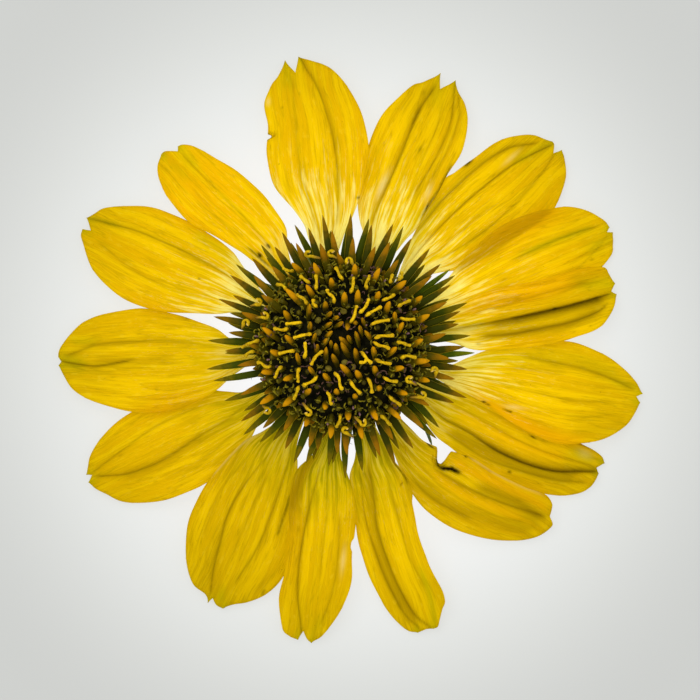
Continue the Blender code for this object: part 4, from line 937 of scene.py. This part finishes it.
def with_base(nodes, colour, along, medium, veins, fibres, fold, cream, dusk):
    """The colour with the pale flecks and streaks of the petal's base, and its dull green."""
    flecks = nodes.all_of((fibres, 0.54, 0.66), (medium, 0.50, 0.42), (along, 0.31, 0.14, 0.0, 0.7),
                          (cream, 0.0, 1.0, 0.3, 1.0))
    colour = nodes.mix(flecks, colour, (1.0, 0.90, 0.34))
    level = nodes.sum_of(nodes.range(along, 0.08, 0.23, 0.60, 0.36),
                         nodes.times(nodes.math("SUBTRACT", cream, 1.0), 0.15))
    streaks = nodes.all_of((nodes.math("SUBTRACT", level, medium), -0.08, 0.09), (along, 0.28, 0.20),
                           (fibres, 0.3, 0.6, 0.65, 1.0), (fold, 0.0, 0.5, 1.0, 0.2),
                           (cream, 0.0, 0.8, 0.25, 1.0))
    colour = nodes.mix(streaks, colour, (1.0, 0.92, 0.28))
    base_lines = nodes.all_of((along, 0.25, 0.08), (veins, 0.52, 0.60, 0.0, 0.5))
    colour = nodes.mix(base_lines, colour, (0.88, 0.66, 0.0008))
    low = nodes.times(nodes.range(along, 0.23, 0.09), dusk)
    colour = nodes.mix(nodes.times(low, 0.5), colour, (0.42, 0.43, 0.002))
    dull_lines = nodes.times(low, nodes.range(medium, 0.47, 0.58, 0.0, 0.9))
    return nodes.mix(dull_lines, colour, (0.17, 0.18, 0.001))


def with_marks(nodes, colour, place, fold, stain_and_shade, pale, green, shade, margin):
    """The colour with what is painted on the petal, and a few specks."""
    # Pale includes painted highlights of lit margins, shade is painted shade, and fold is the painted dark
    # line and shade of a crease.
    for amount, most, other in (
            (pale, 0.75, (1.0, 0.86, 0.40)),
            (green, 0.7, (0.50, 0.47, 0.0008)),
            (shade, 0.8, (0.40, 0.25, 0.0003)),
            (fold, 0.95, (0.16, 0.09, 0.0003)),
            (margin, 0.3, (0.55, 0.36, 0.0003))):
        colour = nodes.mix(nodes.times(amount, most), colour, other)
    ragged = nodes.range(nodes.noise(place, (150.0, 200.0, 1.0), 3.0, 0.7), 0.3, 0.6, 0.7, 1.0)
    # Stains go nearly black; some of these marks are painted shadow beside curled margins and painted shade
    # along folds.
    colour = nodes.tinted(colour, (0.003, 0.0015, 0.0004), nodes.times(stain_and_shade, ragged), 0.0, 0.85)
    specks = nodes.noise(place, (170.0, 230.0, 1.0), 1.0)
    return nodes.tinted(colour, (0.22, 0.11, 0.002), specks, 0.77, 0.81, 0.6)


def petal_material():
    """Thin translucent yellow blade: streaked veins, pale base, folds, stains and green tips.

    Folds and overlaps get painted shade, curled margins painted shadows and lit edges painted highlights.
    """
    nodes = Nodes("petal_yellow_veined")
    place = nodes.add("UVMap", {"uv_map": "petal_uv"}).outputs[0]
    along = nodes.add("SeparateXYZ", Vector=place).outputs[0]
    fold, stain_and_shade, pale = nodes.channels("marks")
    green, shade, margin = nodes.channels("tints")
    tone, shine = nodes.channels("tones")[:2]
    cream, dusk, gold = nodes.channels("bases")
    fold = nodes.times(fold, nodes.range(along, 0.10, 0.22, 0.5, 1.0))
    medium = nodes.noise(place, (13.0, 165.0, 1.0), 3.0, 0.6)
    veins = nodes.noise(place, (17.0, 380.0, 1.0), 3.0, 0.6)
    fibres = nodes.noise(place, (90.0, 640.0, 1.0), 2.0, 0.7)

    colour = petal_ground(nodes, place, tone, gold, medium, veins)
    colour = with_base(nodes, colour, along, medium, veins, fibres, fold, cream, dusk)
    colour = with_marks(nodes, colour, place, fold, stain_and_shade, pale, green, shade, margin)
    dimmer = nodes.times(shine, nodes.range(along, 0.26, 0.40, 1.0, 0.89))
    dimmer = nodes.add("CombineColor", Red=dimmer, Green=dimmer, Blue=dimmer).outputs[0]
    colour = nodes.mix(1.0, colour, dimmer, "MULTIPLY")

    relief = nodes.sum_of(nodes.times(medium, 0.6), nodes.times(fibres, 0.3))
    normal = nodes.bump(relief, 0.2, 0.7)
    skin = nodes.skin(colour, 0.5, normal, 0.02)
    through = nodes.add("Gamma", Color=colour, Gamma=0.5).outputs[0]
    glow = nodes.add("BsdfTranslucent", Color=through, Normal=normal)
    both = nodes.add("MixShader")
    both.inputs[0].default_value = THROUGH_SHARE
    nodes.put(both.inputs[1], skin.outputs[0])
    nodes.put(both.inputs[2], glow.outputs[0])
    return nodes.finish(both.outputs[0])


def spine_material():
    """Stiff chaff: dark foot, olive or green middle, lighter edges and an orange or brown tip."""
    nodes = Nodes("chaff_green_to_orange")
    along, tint, kind = nodes.channels("values")
    edge = nodes.channels("edges")[0]
    mottle = nodes.grain(900.0, 3.0)
    foot = nodes.ramp(kind, (0.034, 0.026, 0.001), (0.070, 0.054, 0.001), (0.058, 0.047, 0.001),
                      (0.030, 0.033, 0.001), (0.036, 0.048, 0.001), (0.055, 0.085, 0.002),
                      (0.055, 0.042, 0.006))
    rim = nodes.ramp(kind, (0.10, 0.075, 0.001), (0.20, 0.12, 0.001), (0.30, 0.19, 0.002),
                     (0.30, 0.22, 0.002), (0.27, 0.27, 0.002), (0.22, 0.30, 0.005), (0.12, 0.10, 0.012))
    tip = nodes.ramp(kind, (0.36, 0.165, 0.001), (0.50, 0.22, 0.001), (0.235, 0.10, 0.001),
                     (0.160, 0.080, 0.001), (0.135, 0.095, 0.001), (0.11, 0.14, 0.002), (0.14, 0.11, 0.015))
    tip = nodes.mix(nodes.times(tint, 0.4), tip, nodes.mix(0.5, tip, (0.22, 0.12, 0.001)))
    colour = nodes.tinted(foot, (0.010, 0.009, 0.001), along, 0.35, 0.05, 0.8)
    start = nodes.sum_of(nodes.range(kind, 0.2, 0.5, 0.40, 0.49), nodes.range(mottle, 0.3, 0.7, -0.07, 0.07),
                         nodes.range(kind, 0.12, 0.02, 0.0, 0.09), nodes.range(tint, 0.0, 1.0, -0.05, 0.05))
    ripe = nodes.range(along, start, nodes.sum_of(start, 0.42))
    colour = nodes.mix(ripe, colour, tip)
    at_edge = nodes.all_of((edge, 0.80, 0.98), (along, 0.2, 0.5, 0.3, 0.85))
    colour = nodes.mix(at_edge, colour, rim)
    colour = nodes.tinted(colour, (0.03, 0.022, 0.001), mottle, 0.55, 0.75, 0.35)
    return nodes.finish(nodes.skin(colour, 0.5, nodes.bump(mottle, 0.1, 0.5), 0.02).outputs[0])


def style_material():
    """Waxy golden yellow, dusted with paler pollen, darker in patches, with a painted highlight at the end.
    """
    nodes = Nodes("style_yellow")
    along, tint, outer = nodes.channels("values")
    grains = nodes.grain(3200.0, 2.0)
    patches = nodes.grain(1300.0, 2.0)
    colour = nodes.mix(tint, (0.50, 0.30, 0.0005), (0.66, 0.41, 0.001))
    colour = nodes.mix(outer, colour, (0.42, 0.27, 0.0005))
    for value, low, high, most, other in (
            (grains, 0.5, 0.7, 0.5, (0.84, 0.56, 0.006)),
            (grains, 0.48, 0.34, 0.5, (0.32, 0.19, 0.001)),
            # Random darker patches along the styles.
            (patches, 0.52, 0.68, 0.7, (0.26, 0.15, 0.001)),
            (along, 0.3, 0.05, 1.0, (0.20, 0.11, 0.01)),
            # The last row is a painted highlight on the knobbed end.
            (along, 0.93, 0.99, 0.6, (0.85, 0.58, 0.22))):
        colour = nodes.tinted(colour, other, value, low, high, most)
    return nodes.finish(nodes.skin(colour, 0.5, nodes.bump(grains, 0.08, 0.8), 0.06).outputs[0])


def floret_material():
    """Dark purple-brown florets whose curled lobes end in olive."""
    nodes = Nodes("floret_dark")
    along, tint, slope = nodes.channels("values")
    mottle = nodes.grain(1500.0, 3.0)
    tube = nodes.tinted((0.003, 0.002, 0.001), (0.010, 0.007, 0.004), mottle, 0.35, 0.65)
    tube = nodes.mix(nodes.all_of((slope, 0.22, 0.42), (along, 0.02, 0.25)), tube, (0.085, 0.068, 0.002))
    lobe = nodes.tinted((0.034, 0.028, 0.002), (0.150, 0.115, 0.005), mottle, 0.35, 0.65)
    bright = nodes.tinted((0.060, 0.052, 0.002), (0.22, 0.18, 0.005), mottle, 0.35, 0.65)
    lobe = nodes.tinted(lobe, bright, slope, 0.22, 0.42)
    lobe = nodes.tinted(lobe, (0.085, 0.042, 0.028), tint, 0.74, 0.78)
    colour = nodes.tinted(tube, lobe, along, 0.42, 0.6)
    colour = nodes.tinted(colour, (0.19, 0.10, 0.10), tint, 0.985, 1.0)
    return nodes.finish(nodes.skin(colour, 0.45, nodes.bump(mottle, 0.06, 0.6), 0.08).outputs[0])


def core_material():
    """Nearly black, seen between the florets."""
    nodes = Nodes("core_dark")
    mottle = nodes.grain(700.0, 4.0)
    colour = nodes.tinted((0.003, 0.003, 0.001), (0.010, 0.009, 0.003), mottle, 0.35, 0.65)
    return nodes.finish(nodes.skin(colour, 0.8, nodes.bump(mottle, 0.2, 0.6), 0.02).outputs[0])


def green_material():
    """Matte green of the stub, receptacle and bracts, with pale veins and a woody cut face."""
    nodes = Nodes("green_hairy")
    tint = nodes.channels("values")[0]
    place = nodes.object_place()
    mottle = nodes.noise(place, (500.0, 500.0, 500.0), 4.0)
    fibres = nodes.noise(place, (1800.0, 1800.0, 260.0), 3.0)
    height = nodes.add("SeparateXYZ", Vector=place).outputs[2]
    colour = nodes.mix(tint, (0.060, 0.105, 0.014), (0.115, 0.165, 0.028))
    colour = nodes.tinted(colour, (0.035, 0.065, 0.010), mottle, 0.35, 0.7)
    colour = nodes.tinted(colour, (0.22, 0.27, 0.08), fibres, 0.55, 0.75, 0.5)
    colour = nodes.tinted(colour, (0.42, 0.40, 0.20), height, 0.0005, 0.0001)
    skin = nodes.skin(colour, 0.7, nodes.bump(nodes.sum_of(mottle, fibres), 0.15, 0.6), 0.5)
    skin.inputs["Sheen Weight"].default_value = 0.25
    return nodes.finish(skin.outputs[0])


# Small bodies of the cone and the bracts

class Pile:
    """Gathers small closed bodies into one mesh, with one to four colour values at each point."""

    def __init__(self):
        self.points = []
        self.faces = []
        self.values = []
        self.count = 0

    def add(self, body, values):
        points, faces = body
        self.points.append(points)
        self.faces.extend([tuple(corner + self.count for corner in face) for face in faces])
        self.values.append(np.stack([np.broadcast_to(value, len(points)) for value in values], axis=1))
        self.count += len(points)

    def make(self, name, material, node):
        piece = new_mesh(name, np.concatenate(self.points), self.faces, material)
        channels = np.concatenate(self.values).T
        give_colours(piece, "values", channels[:3])
        if len(channels) > 3:
            give_colours(piece, "edges", channels[3:])
        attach(piece, "root")
        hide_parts(node)


def tube_faces(rings, sides):
    """A closed tube's faces: its points are ring after ring, then its first and its last end."""
    top, first = (rings - 1) * sides, rings * sides
    faces = []
    for low in range(0, top, sides):
        for k in range(sides):
            after = (k + 1) % sides
            faces.append((low + k, low + after, low + sides + after, low + sides + k))
    for k in range(sides):
        after = (k + 1) % sides
        faces.append((first, after, k))
        faces.append((first + 1, top + k, top + after))
    return faces


def swept(path, widths, depths, side, sides):
    """A closed tube with an oval section along a path, pointed at both ends."""
    path = np.asarray(path, float)
    flow = unit(np.gradient(path, axis=0))
    across = np.broadcast_to(side, path.shape)
    across = unit(across - np.sum(across * flow, axis=1, keepdims=True) * flow)
    over = np.cross(flow, across)
    angle = np.arange(sides)[:, None] / sides * 2 * math.pi
    half_width, half_depth = np.asarray(widths)[:, None, None] / 2, np.asarray(depths)[:, None, None] / 2
    rings = (path[:, None] + half_width * np.cos(angle) * across[:, None]
             + half_depth * np.sin(angle) * over[:, None])
    points = np.concatenate([rings[1:-1].reshape(-1, 3), path[:1], path[-1:]])
    return points, tube_faces(len(path) - 2, sides)


def along_of(path, sides):
    """The share of the way along a swept body, for each of its points."""
    inner = np.linspace(0, 1, len(path))[1:-1]
    return np.concatenate([np.repeat(inner, sides), [0.0, 1.0]])


def lathe(profile, sides, centre, wobble=None):
    """A closed solid of revolution from (radius, height) points that run from foot to top."""
    profile = np.array(profile, float)
    angle = np.arange(sides) / sides * 2 * math.pi
    radius = profile[:, 0][:, None] * np.ones(sides)
    if wobble is not None:
        radius = radius * wobble(angle[None, :], profile[:, 1][:, None])
    rings = np.stack([centre[0] + radius * np.cos(angle), centre[1] + radius * np.sin(angle),
                      np.broadcast_to(profile[:, 1][:, None], radius.shape)], axis=2)
    ends = [[centre[0], centre[1], profile[0, 1]], [centre[0], centre[1], profile[-1, 1]]]
    return np.concatenate([rings.reshape(-1, 3), ends]), tube_faces(len(profile), sides)


# The cone

def ways_at(turn):
    """The level directions away from the axis and round it, at a turn about it."""
    out = np.array([math.cos(turn), math.sin(turn), 0.0])
    return out, np.array([-out[1], out[0], 0.0])


def core_height(radius):
    return CORE_MIDDLE + CORE_RISE * math.sqrt(max(0.0, 1 - (radius / CORE_RADIUS) ** 2))


def core_point(number):
    """Where the spiral's floret grows on the core, and its upward, outward and sideways directions."""
    share, turn = (number + 0.5) / SPIRAL, number * GOLDEN_ANGLE
    slope = math.acos(1 - share * (1 - math.cos(LOWEST_SLOPE)))
    out, side = ways_at(turn)
    grows = unit(out * math.sin(slope) + np.array([0, 0, math.cos(slope) + 0.12]))
    place = np.array([CONE_X, CONE_Y, CORE_MIDDLE + CORE_RISE * math.cos(slope)])
    place = place + out * CORE_RADIUS * math.sin(slope)
    outward = np.cross(side, grows)
    return place, grows, outward, side, slope / LOWEST_SLOPE


def make_core(material):
    """The core that spines and florets grow from, slightly rough."""
    profile = [(CORE_FOOT, CORE_BOTTOM), (CORE_RADIUS * 0.96, CORE_MIDDLE - 1.8)]
    for degrees in range(90, 0, -5):
        slope = math.radians(degrees)
        profile.append((CORE_RADIUS * math.sin(slope), CORE_MIDDLE + CORE_RISE * math.cos(slope)))
    points, faces = lathe(profile, CORE_SIDES, (CONE_X, CONE_Y))
    rng = np.random.default_rng(4)
    points = points + rng.uniform(-CORE_ROUGHNESS, CORE_ROUGHNESS, points.shape)
    pile = Pile()
    pile.add((points, faces), (0.5,))
    pile.make("cone_core", material, "cone")


def add_spine(pile, path, side, width, keenness, kind, tint):
    """One stiff pointed spine along a path of 13 points, blunt or keen."""
    outline = (np.interp(SPINE_STEPS, OUTLINE_AT, BLUNT_OUTLINE) * (1 - keenness)
               + np.interp(SPINE_STEPS, OUTLINE_AT, KEEN_OUTLINE) * keenness)
    body = swept(path, width * outline, (0.85 - 0.25 * keenness) * width * outline, side, SPINE_SIDES)
    edges = np.abs(np.cos(np.arange(SPINE_SIDES) / SPINE_SIDES * 2 * math.pi))
    edge = np.concatenate([np.tile(edges, len(path) - 2), [0.5, 0.5]])
    along = np.concatenate([np.repeat(SPINE_STEPS[1:-1], SPINE_SIDES), [0, 1]])
    pile.add(body, (along, tint, kind, edge))


def placed_spine(tip, foot, past_foot, root_most, tip_heights, rng):
    """The path and the sideways direction of a spine between the tip and the foot that show."""
    root = foot + (foot - tip) * past_foot
    distance = np.linalg.norm(root)
    if distance > root_most:
        root = root * root_most / distance
        distance = root_most
    high = np.interp(np.linalg.norm(tip), *zip(*tip_heights)) + rng.uniform(-0.35, 0.35)
    start = np.array([*root, min(core_height(distance), ROOTS_BELOW) - SUNK_ROOT])
    end = np.array([*tip, high])
    middle = (start + end) / 2 + (0, 0, SPINE_ARCH)
    middle[:2] += rng.uniform(-0.15, 0.15)
    steps = SPINE_STEPS[:, None]
    path = (1 - steps) ** 2 * start + 2 * steps * (1 - steps) * middle + steps ** 2 * end
    over = unit(np.cross(end - start, (root[1] + 0.1, -root[0], 0)))
    return path + (CROWN_X, CROWN_Y, 0), unit(np.cross(over, end - start))


def make_spines(material):
    """The spines with places of their own, then low ones between them and those under the rim."""
    pile = Pile()
    rng = random.Random(15)
    steps = SPINE_STEPS[:, None]
    for name, places in SPINES.items():
        kind, width, keenness, past_foot, root_most, tip_heights = SPINE_KINDS[name]
        for place in places:
            path, side = placed_spine(np.array(place[:2]), np.array(place[2:]), past_foot, root_most,
                                      tip_heights, rng)
            add_spine(pile, path, side, width * rng.uniform(0.92, 1.06), keenness, kind, rng.random())
    for number in range(FIRST_LOW_SPINE, FIRST_UNDER_SPINE):
        place, grows, _, side, _ = core_point(number)
        length = rng.uniform(*LOW_SPINE_LENGTHS) - SUNK_ROOT
        bow = side * rng.uniform(-0.4, 0.4) * steps ** 2
        path = place + grows * length * steps + bow - grows * SUNK_ROOT
        width = rng.uniform(0.95, 1.15)
        add_spine(pile, path, side, width, 0.8, rng.choice((0.33, 0.42, 0.5)), rng.random())
    for number in range(FIRST_UNDER_SPINE, SPIRAL):
        if number == MISSING_SPINE:
            continue
        place, grows, _, side, _ = core_point(number)
        bow = side * rng.uniform(-0.5, 0.5) * steps ** 2
        path = place + grows * (UNDER_SPINE_LENGTH * steps - SUNK_ROOT) + bow
        add_spine(pile, path, side, rng.uniform(1.15, 1.35), 1.0, SPINE_KINDS["green"][0], rng.random())
    pile.make("cone_spines", material, "cone")


def style_height(radius):
    return np.interp(radius, *zip(*STYLE_HEIGHTS))


def add_style(pile, path, rng):
    """One yellow style along a path from its floret: bumpy, and knobbed at its end."""
    steps = np.linspace(0, 1, len(path))
    smooth = path.copy()
    smooth[1:-1] = (path[:-2] + 2 * path[1:-1] + path[2:]) / 4
    bumps = 1 + 0.15 * np.sin(steps * rng.uniform(11, 17) + rng.uniform(0, 6))
    knobs = 1 + 0.35 * np.exp(-((steps - 0.93) / 0.06) ** 2) + 0.2 * np.exp(-((steps - 0.3) / 0.08) ** 2)
    width = STYLE_WIDTH * bumps * knobs * np.interp(steps, (0, 0.25, 0.9, 1), (0.6, 1, 1, 0.9))
    width[0] = width[-1] = 0
    outer = np.clip((np.hypot(*(path[-1] - (CONE_X, CONE_Y, 0))[:2]) - 9) / 6, 0, 1)
    pile.add(swept(smooth, width, width, (0.1, 0.2, 1.0), 8), (along_of(path, 8), rng.random(), outer))


def make_styles(material):
    """The yellow styles that lie on the cone, straight or curled."""
    pile = Pile()
    rng = random.Random(29)
    axis = np.array([CROWN_X, CROWN_Y, 0])

    def on_cone(x, y):
        return axis + (x, y, style_height(math.hypot(x, y)) + rng.uniform(-0.2, 0.2))

    for x0, y0, x1, y1 in STYLES:
        start, end = sorted((on_cone(x0, y0), on_cone(x1, y1)), key=lambda point: -point[2])
        rise = np.linspace(start - (0, 0, STYLE_RISE) + unit((axis - start) * (1, 1, 0)) * 0.3, start, 5)[:-1]
        away = end - start
        side = unit(np.cross(away, (0, 0, 1.0)))
        steps = np.linspace(0, 1, 15)[:, None]
        bow = np.sin(steps * math.pi * rng.uniform(0.9, 2.0)) * rng.uniform(-STYLE_BOW, STYLE_BOW)
        lying = start + away * steps + side * bow + (0, 0, STYLE_ARCH) * np.sin(steps * math.pi)
        add_style(pile, np.concatenate([rise, lying]), rng)
    for x0, y0, x1, y1 in CURLED_STYLES:
        middle, end = on_cone(x0, y0), on_cone(x1, y1)
        away = unit((end - middle) * (1, 1, 0))
        side = np.cross(away, (0, 0, 1.0)) * rng.choice((-1, 1))
        turn = np.linspace(*CURL_TURN, 20)[::-1, None]
        ring = middle + (away * np.cos(turn) + side * np.sin(turn)) * CURL_RADIUS
        ring[:, 2] += np.linspace(0.5, 0.1, 20)
        tail = np.linspace(ring[-1], end, 8)[1:]
        add_style(pile, np.concatenate([ring, tail, [end - (0, 0, 1.2)]])[::-1], rng)
    pile.make("cone_styles", material, "cone")


def lobe_path(mouth, grows, outward, side, turn, steps, rng):
    """The path of a floret's curled lobe, which starts at a turn round its mouth."""
    turn += rng.uniform(-0.3, 0.3)
    angle = turn + rng.choice((-1, 1)) * rng.uniform(0.5, 1.5) * steps
    reach = rng.uniform(0.75, 1.25) - rng.uniform(0.0, 0.4) * (2 * steps - 1) ** 2
    away = outward * np.cos(angle) + side * np.sin(angle)
    return mouth + away * reach + grows * (rng.uniform(0.0, 0.35) + 0.3 * np.sin(steps * 2.6))


def make_florets(material):
    """Dark florets between the spines: short tubes, five curled lobes and a few purple anthers."""
    pile = Pile()
    rng = random.Random(41)
    steps = np.linspace(0, 1, len(TUBE_WIDTHS))[:, None]
    for number in range(FIRST_FLORET, AFTER_FLORETS):
        place, grows, outward, side, slope = core_point(number)
        length = FLORET_LENGTH + FLORET_GROWTH * slope + rng.uniform(-0.3, 0.3)
        start = place - outward * FLORET_MOVE + side * rng.uniform(-0.3, 0.3)
        path = start + grows * ((length + SUNK_FLORET) * steps - SUNK_FLORET)
        tint = rng.uniform(0, 0.95)
        pile.add(swept(path, TUBE_WIDTHS, TUBE_WIDTHS, side, 8), (along_of(path, 8) * 0.4, tint, slope))
        mouth = start + grows * length
        for lobe in range(LOBES):
            path = lobe_path(mouth, grows, outward, side, lobe * 2 * math.pi / LOBES, steps, rng)
            body = swept(path, LOBE_WIDTHS, LOBE_WIDTHS * 0.7, grows, 6)
            pile.add(body, (0.55 + 0.45 * along_of(path, 6), tint, slope))
        if rng.random() < ANTHER_SHARE:
            foot = mouth + (outward * rng.uniform(-0.5, 0.5) + side * rng.uniform(-0.5, 0.5))
            path = foot + grows * steps * ANTHER_LENGTH
            pile.add(swept(path, ANTHER_WIDTHS, ANTHER_WIDTHS, side, 6), (0.5, 1.0, slope))
    pile.make("cone_florets", material, "cone")


# Bracts, receptacle and stub

def make_stub(material):
    """The ridged stub of the stem with its cut end, and the receptacle."""
    profile = [*CUT_END, *GREEN_PROFILE[:-1]]
    fine = []
    for (r0, h0), (r1, h1) in zip(profile, profile[1:]):
        for t in np.linspace(0, 1, 6)[:-1]:
            fine.append((r0 + (r1 - r0) * t, h0 + (h1 - h0) * t))
    fine.append(profile[-1])

    def ridges(angle, height):
        stem = 1 - smooth_step(height, 5, 7.5)
        furrows = 0.045 * np.cos(angle * 9) + 0.02 * np.cos(angle * 23 + height)
        return 1 + stem * furrows + 0.012 * np.cos(angle * 31)

    pile = Pile()
    pile.add(lathe(fine, STUB_SIDES, (CONE_X, CONE_Y), ridges), (0.5,))
    pile.make("stub_and_receptacle", material, "stem_and_bracts")


def add_hair(hairs, path, width, out, side, tint, rng):
    """One short hair on the edge of a bract."""
    at = rng.uniform(0.15, 0.95)
    edge = rng.choice((-1, 1))
    foot = np.array([np.interp(at, BRACT_STEPS, path[:, axis]) for axis in range(3)])
    foot = foot + side * edge * np.interp(at, BRACT_STEPS, width) * 0.46
    away = side * edge + out * rng.uniform(0.1, 0.9) + np.array([0, 0, rng.uniform(-0.5, 0.3)])
    away = unit(away)
    hair = np.linspace(foot, foot + away * rng.uniform(*HAIR_LENGTHS), 4)
    hairs.add(swept(hair, HAIR_WIDTHS, HAIR_WIDTHS, np.cross(away, out) + 1e-6, 4), (tint,))


def add_bract(leaves, hairs, turn, reach, root_height, tip_height, rng):
    """One pointed bract with its hairs, at a turn round the axis."""
    out, side = ways_at(turn)
    root = np.array([CONE_X, CONE_Y, root_height]) + out * BRACT_ROOT
    tip = np.array([CONE_X, CONE_Y, tip_height]) + out * (reach + rng.uniform(-0.6, 0.3))
    steps = BRACT_STEPS[:, None]
    path = root + (tip - root) * steps + side * rng.uniform(-0.5, 0.5) * steps ** 2
    path[:, 2] += 0.25 * np.sin(BRACT_STEPS * math.pi)
    outline = np.interp(BRACT_STEPS, *zip(*BRACT_OUTLINE))
    width = BRACT_WIDTH * outline * rng.uniform(0.85, 1.0)
    tint = rng.random()
    leaves.add(swept(path, width, BRACT_THICKNESS * 0.8 * outline, side, 10), (tint,))
    for _ in range(HAIRS):
        add_hair(hairs, path, width, out, side, tint, rng)


def add_long_bract(leaves):
    """The long narrow one that shows in a gap."""
    steps = np.linspace(0, 1, 20)
    knots = np.linspace(0, 1, len(LONG_BRACT))
    x, y = (np.interp(steps, knots, axis) for axis in zip(*LONG_BRACT))
    path = np.column_stack([CONE_X + x, CONE_Y + y, np.full(20, LONG_BRACT_HEIGHT)])
    width = LONG_BRACT_WIDTH * np.interp(steps, (0, 0.5, 0.9, 1), (1.2, 1.0, 0.6, 0))
    leaves.add(swept(path, width, 0.4 * width, (0.8, 0.6, 0), 8), (0.8,))


def make_bracts(material):
    """Two rows of bracts under the petals, and a long one."""
    leaves = Pile()
    hairs = Pile()
    rng = random.Random(7)
    for row, (count, *reach_and_heights) in enumerate(BRACT_ROWS):
        for i in range(count):
            turn = 2 * math.pi * (i + row / 2) / count + rng.uniform(-0.05, 0.05)
            add_bract(leaves, hairs, turn, *reach_and_heights, rng)
    add_long_bract(leaves)
    leaves.make("bracts", material, "stem_and_bracts")
    hairs.make("bract_hairs", material, "stem_and_bracts")


# Camera, light and floor

def make_camera():
    """The camera, straight above the head, and a plain view transform."""
    scene = bpy.context.scene
    scene.view_settings.view_transform = "Standard"
    camera_data = bpy.data.cameras.new("camera")
    camera_data.angle = 2 * math.atan(HALF_PICTURE / LENS_RISE)
    camera_data.clip_end = 10
    camera = bpy.data.objects.new("camera", camera_data)
    camera.location = Vector((CAMERA_X, CAMERA_Y, PICTURE_PLANE + CAMERA_RISE)) * MM
    scene.collection.objects.link(camera)
    scene.camera = camera


def make_light():
    """A white sky and one large soft lamp."""
    scene = bpy.context.scene
    scene.world = bpy.data.worlds.new("studio")
    scene.world.use_nodes = True
    sky = scene.world.node_tree.nodes["Background"]
    sky.inputs["Color"].default_value = (1.0, 1.0, 0.98, 1)
    sky.inputs["Strength"].default_value = SKY_STRENGTH
    light_data = bpy.data.lights.new("soft_box", "AREA")
    light_data.size = LIGHT_SIZE
    light_data.energy = LIGHT_WATTS
    light = bpy.data.objects.new("soft_box", light_data)
    light.location = LIGHT_PLACE
    light.rotation_euler = Vector(LIGHT_PLACE).to_track_quat("Z", "Y").to_euler()
    scene.collection.objects.link(light)


def make_floor():
    """A plain pale light table, brightest under the head."""
    nodes = Nodes("light_table")
    colour = nodes.tinted((0.118, 0.12, 0.118), (0.122, 0.124, 0.122), nodes.grain(9.0, 3.0), 0.3, 0.7)
    away = nodes.add("VectorMath", {"operation": "LENGTH"})
    nodes.put(away.inputs[0], nodes.object_place())
    away = away.outputs["Value"]
    strength = nodes.sum_of(nodes.range(away, 0.004, 0.078, 0.93, 0.43),
                            nodes.range(away, 0.0125, 0.0075, 0.0, 1.3))
    glow = nodes.tinted((0.975, 0.99, 1.06), (0.98, 1.0, 0.965), away, 0.0, 0.06)
    surface = nodes.add("BsdfPrincipled", Base_Color=colour, Roughness=0.7,
                        Emission_Color=glow, Emission_Strength=strength)
    reach = FLOOR_REACH / MM
    corners = [(-reach, -reach, 0), (reach, -reach, 0), (reach, reach, 0), (-reach, reach, 0)]
    new_mesh("floor", corners, [(0, 1, 2, 3)], nodes.finish(surface.outputs[0]))


petal_skin = petal_material()
for number, (name, petal) in enumerate(PETALS.items(), start=1):
    make_petal(name, petal, number, petal_skin)
make_core(core_material())
make_spines(spine_material())
make_styles(style_material())
make_florets(floret_material())
green_skin = green_material()
make_stub(green_skin)
make_bracts(green_skin)
make_camera()
make_light()
make_floor()
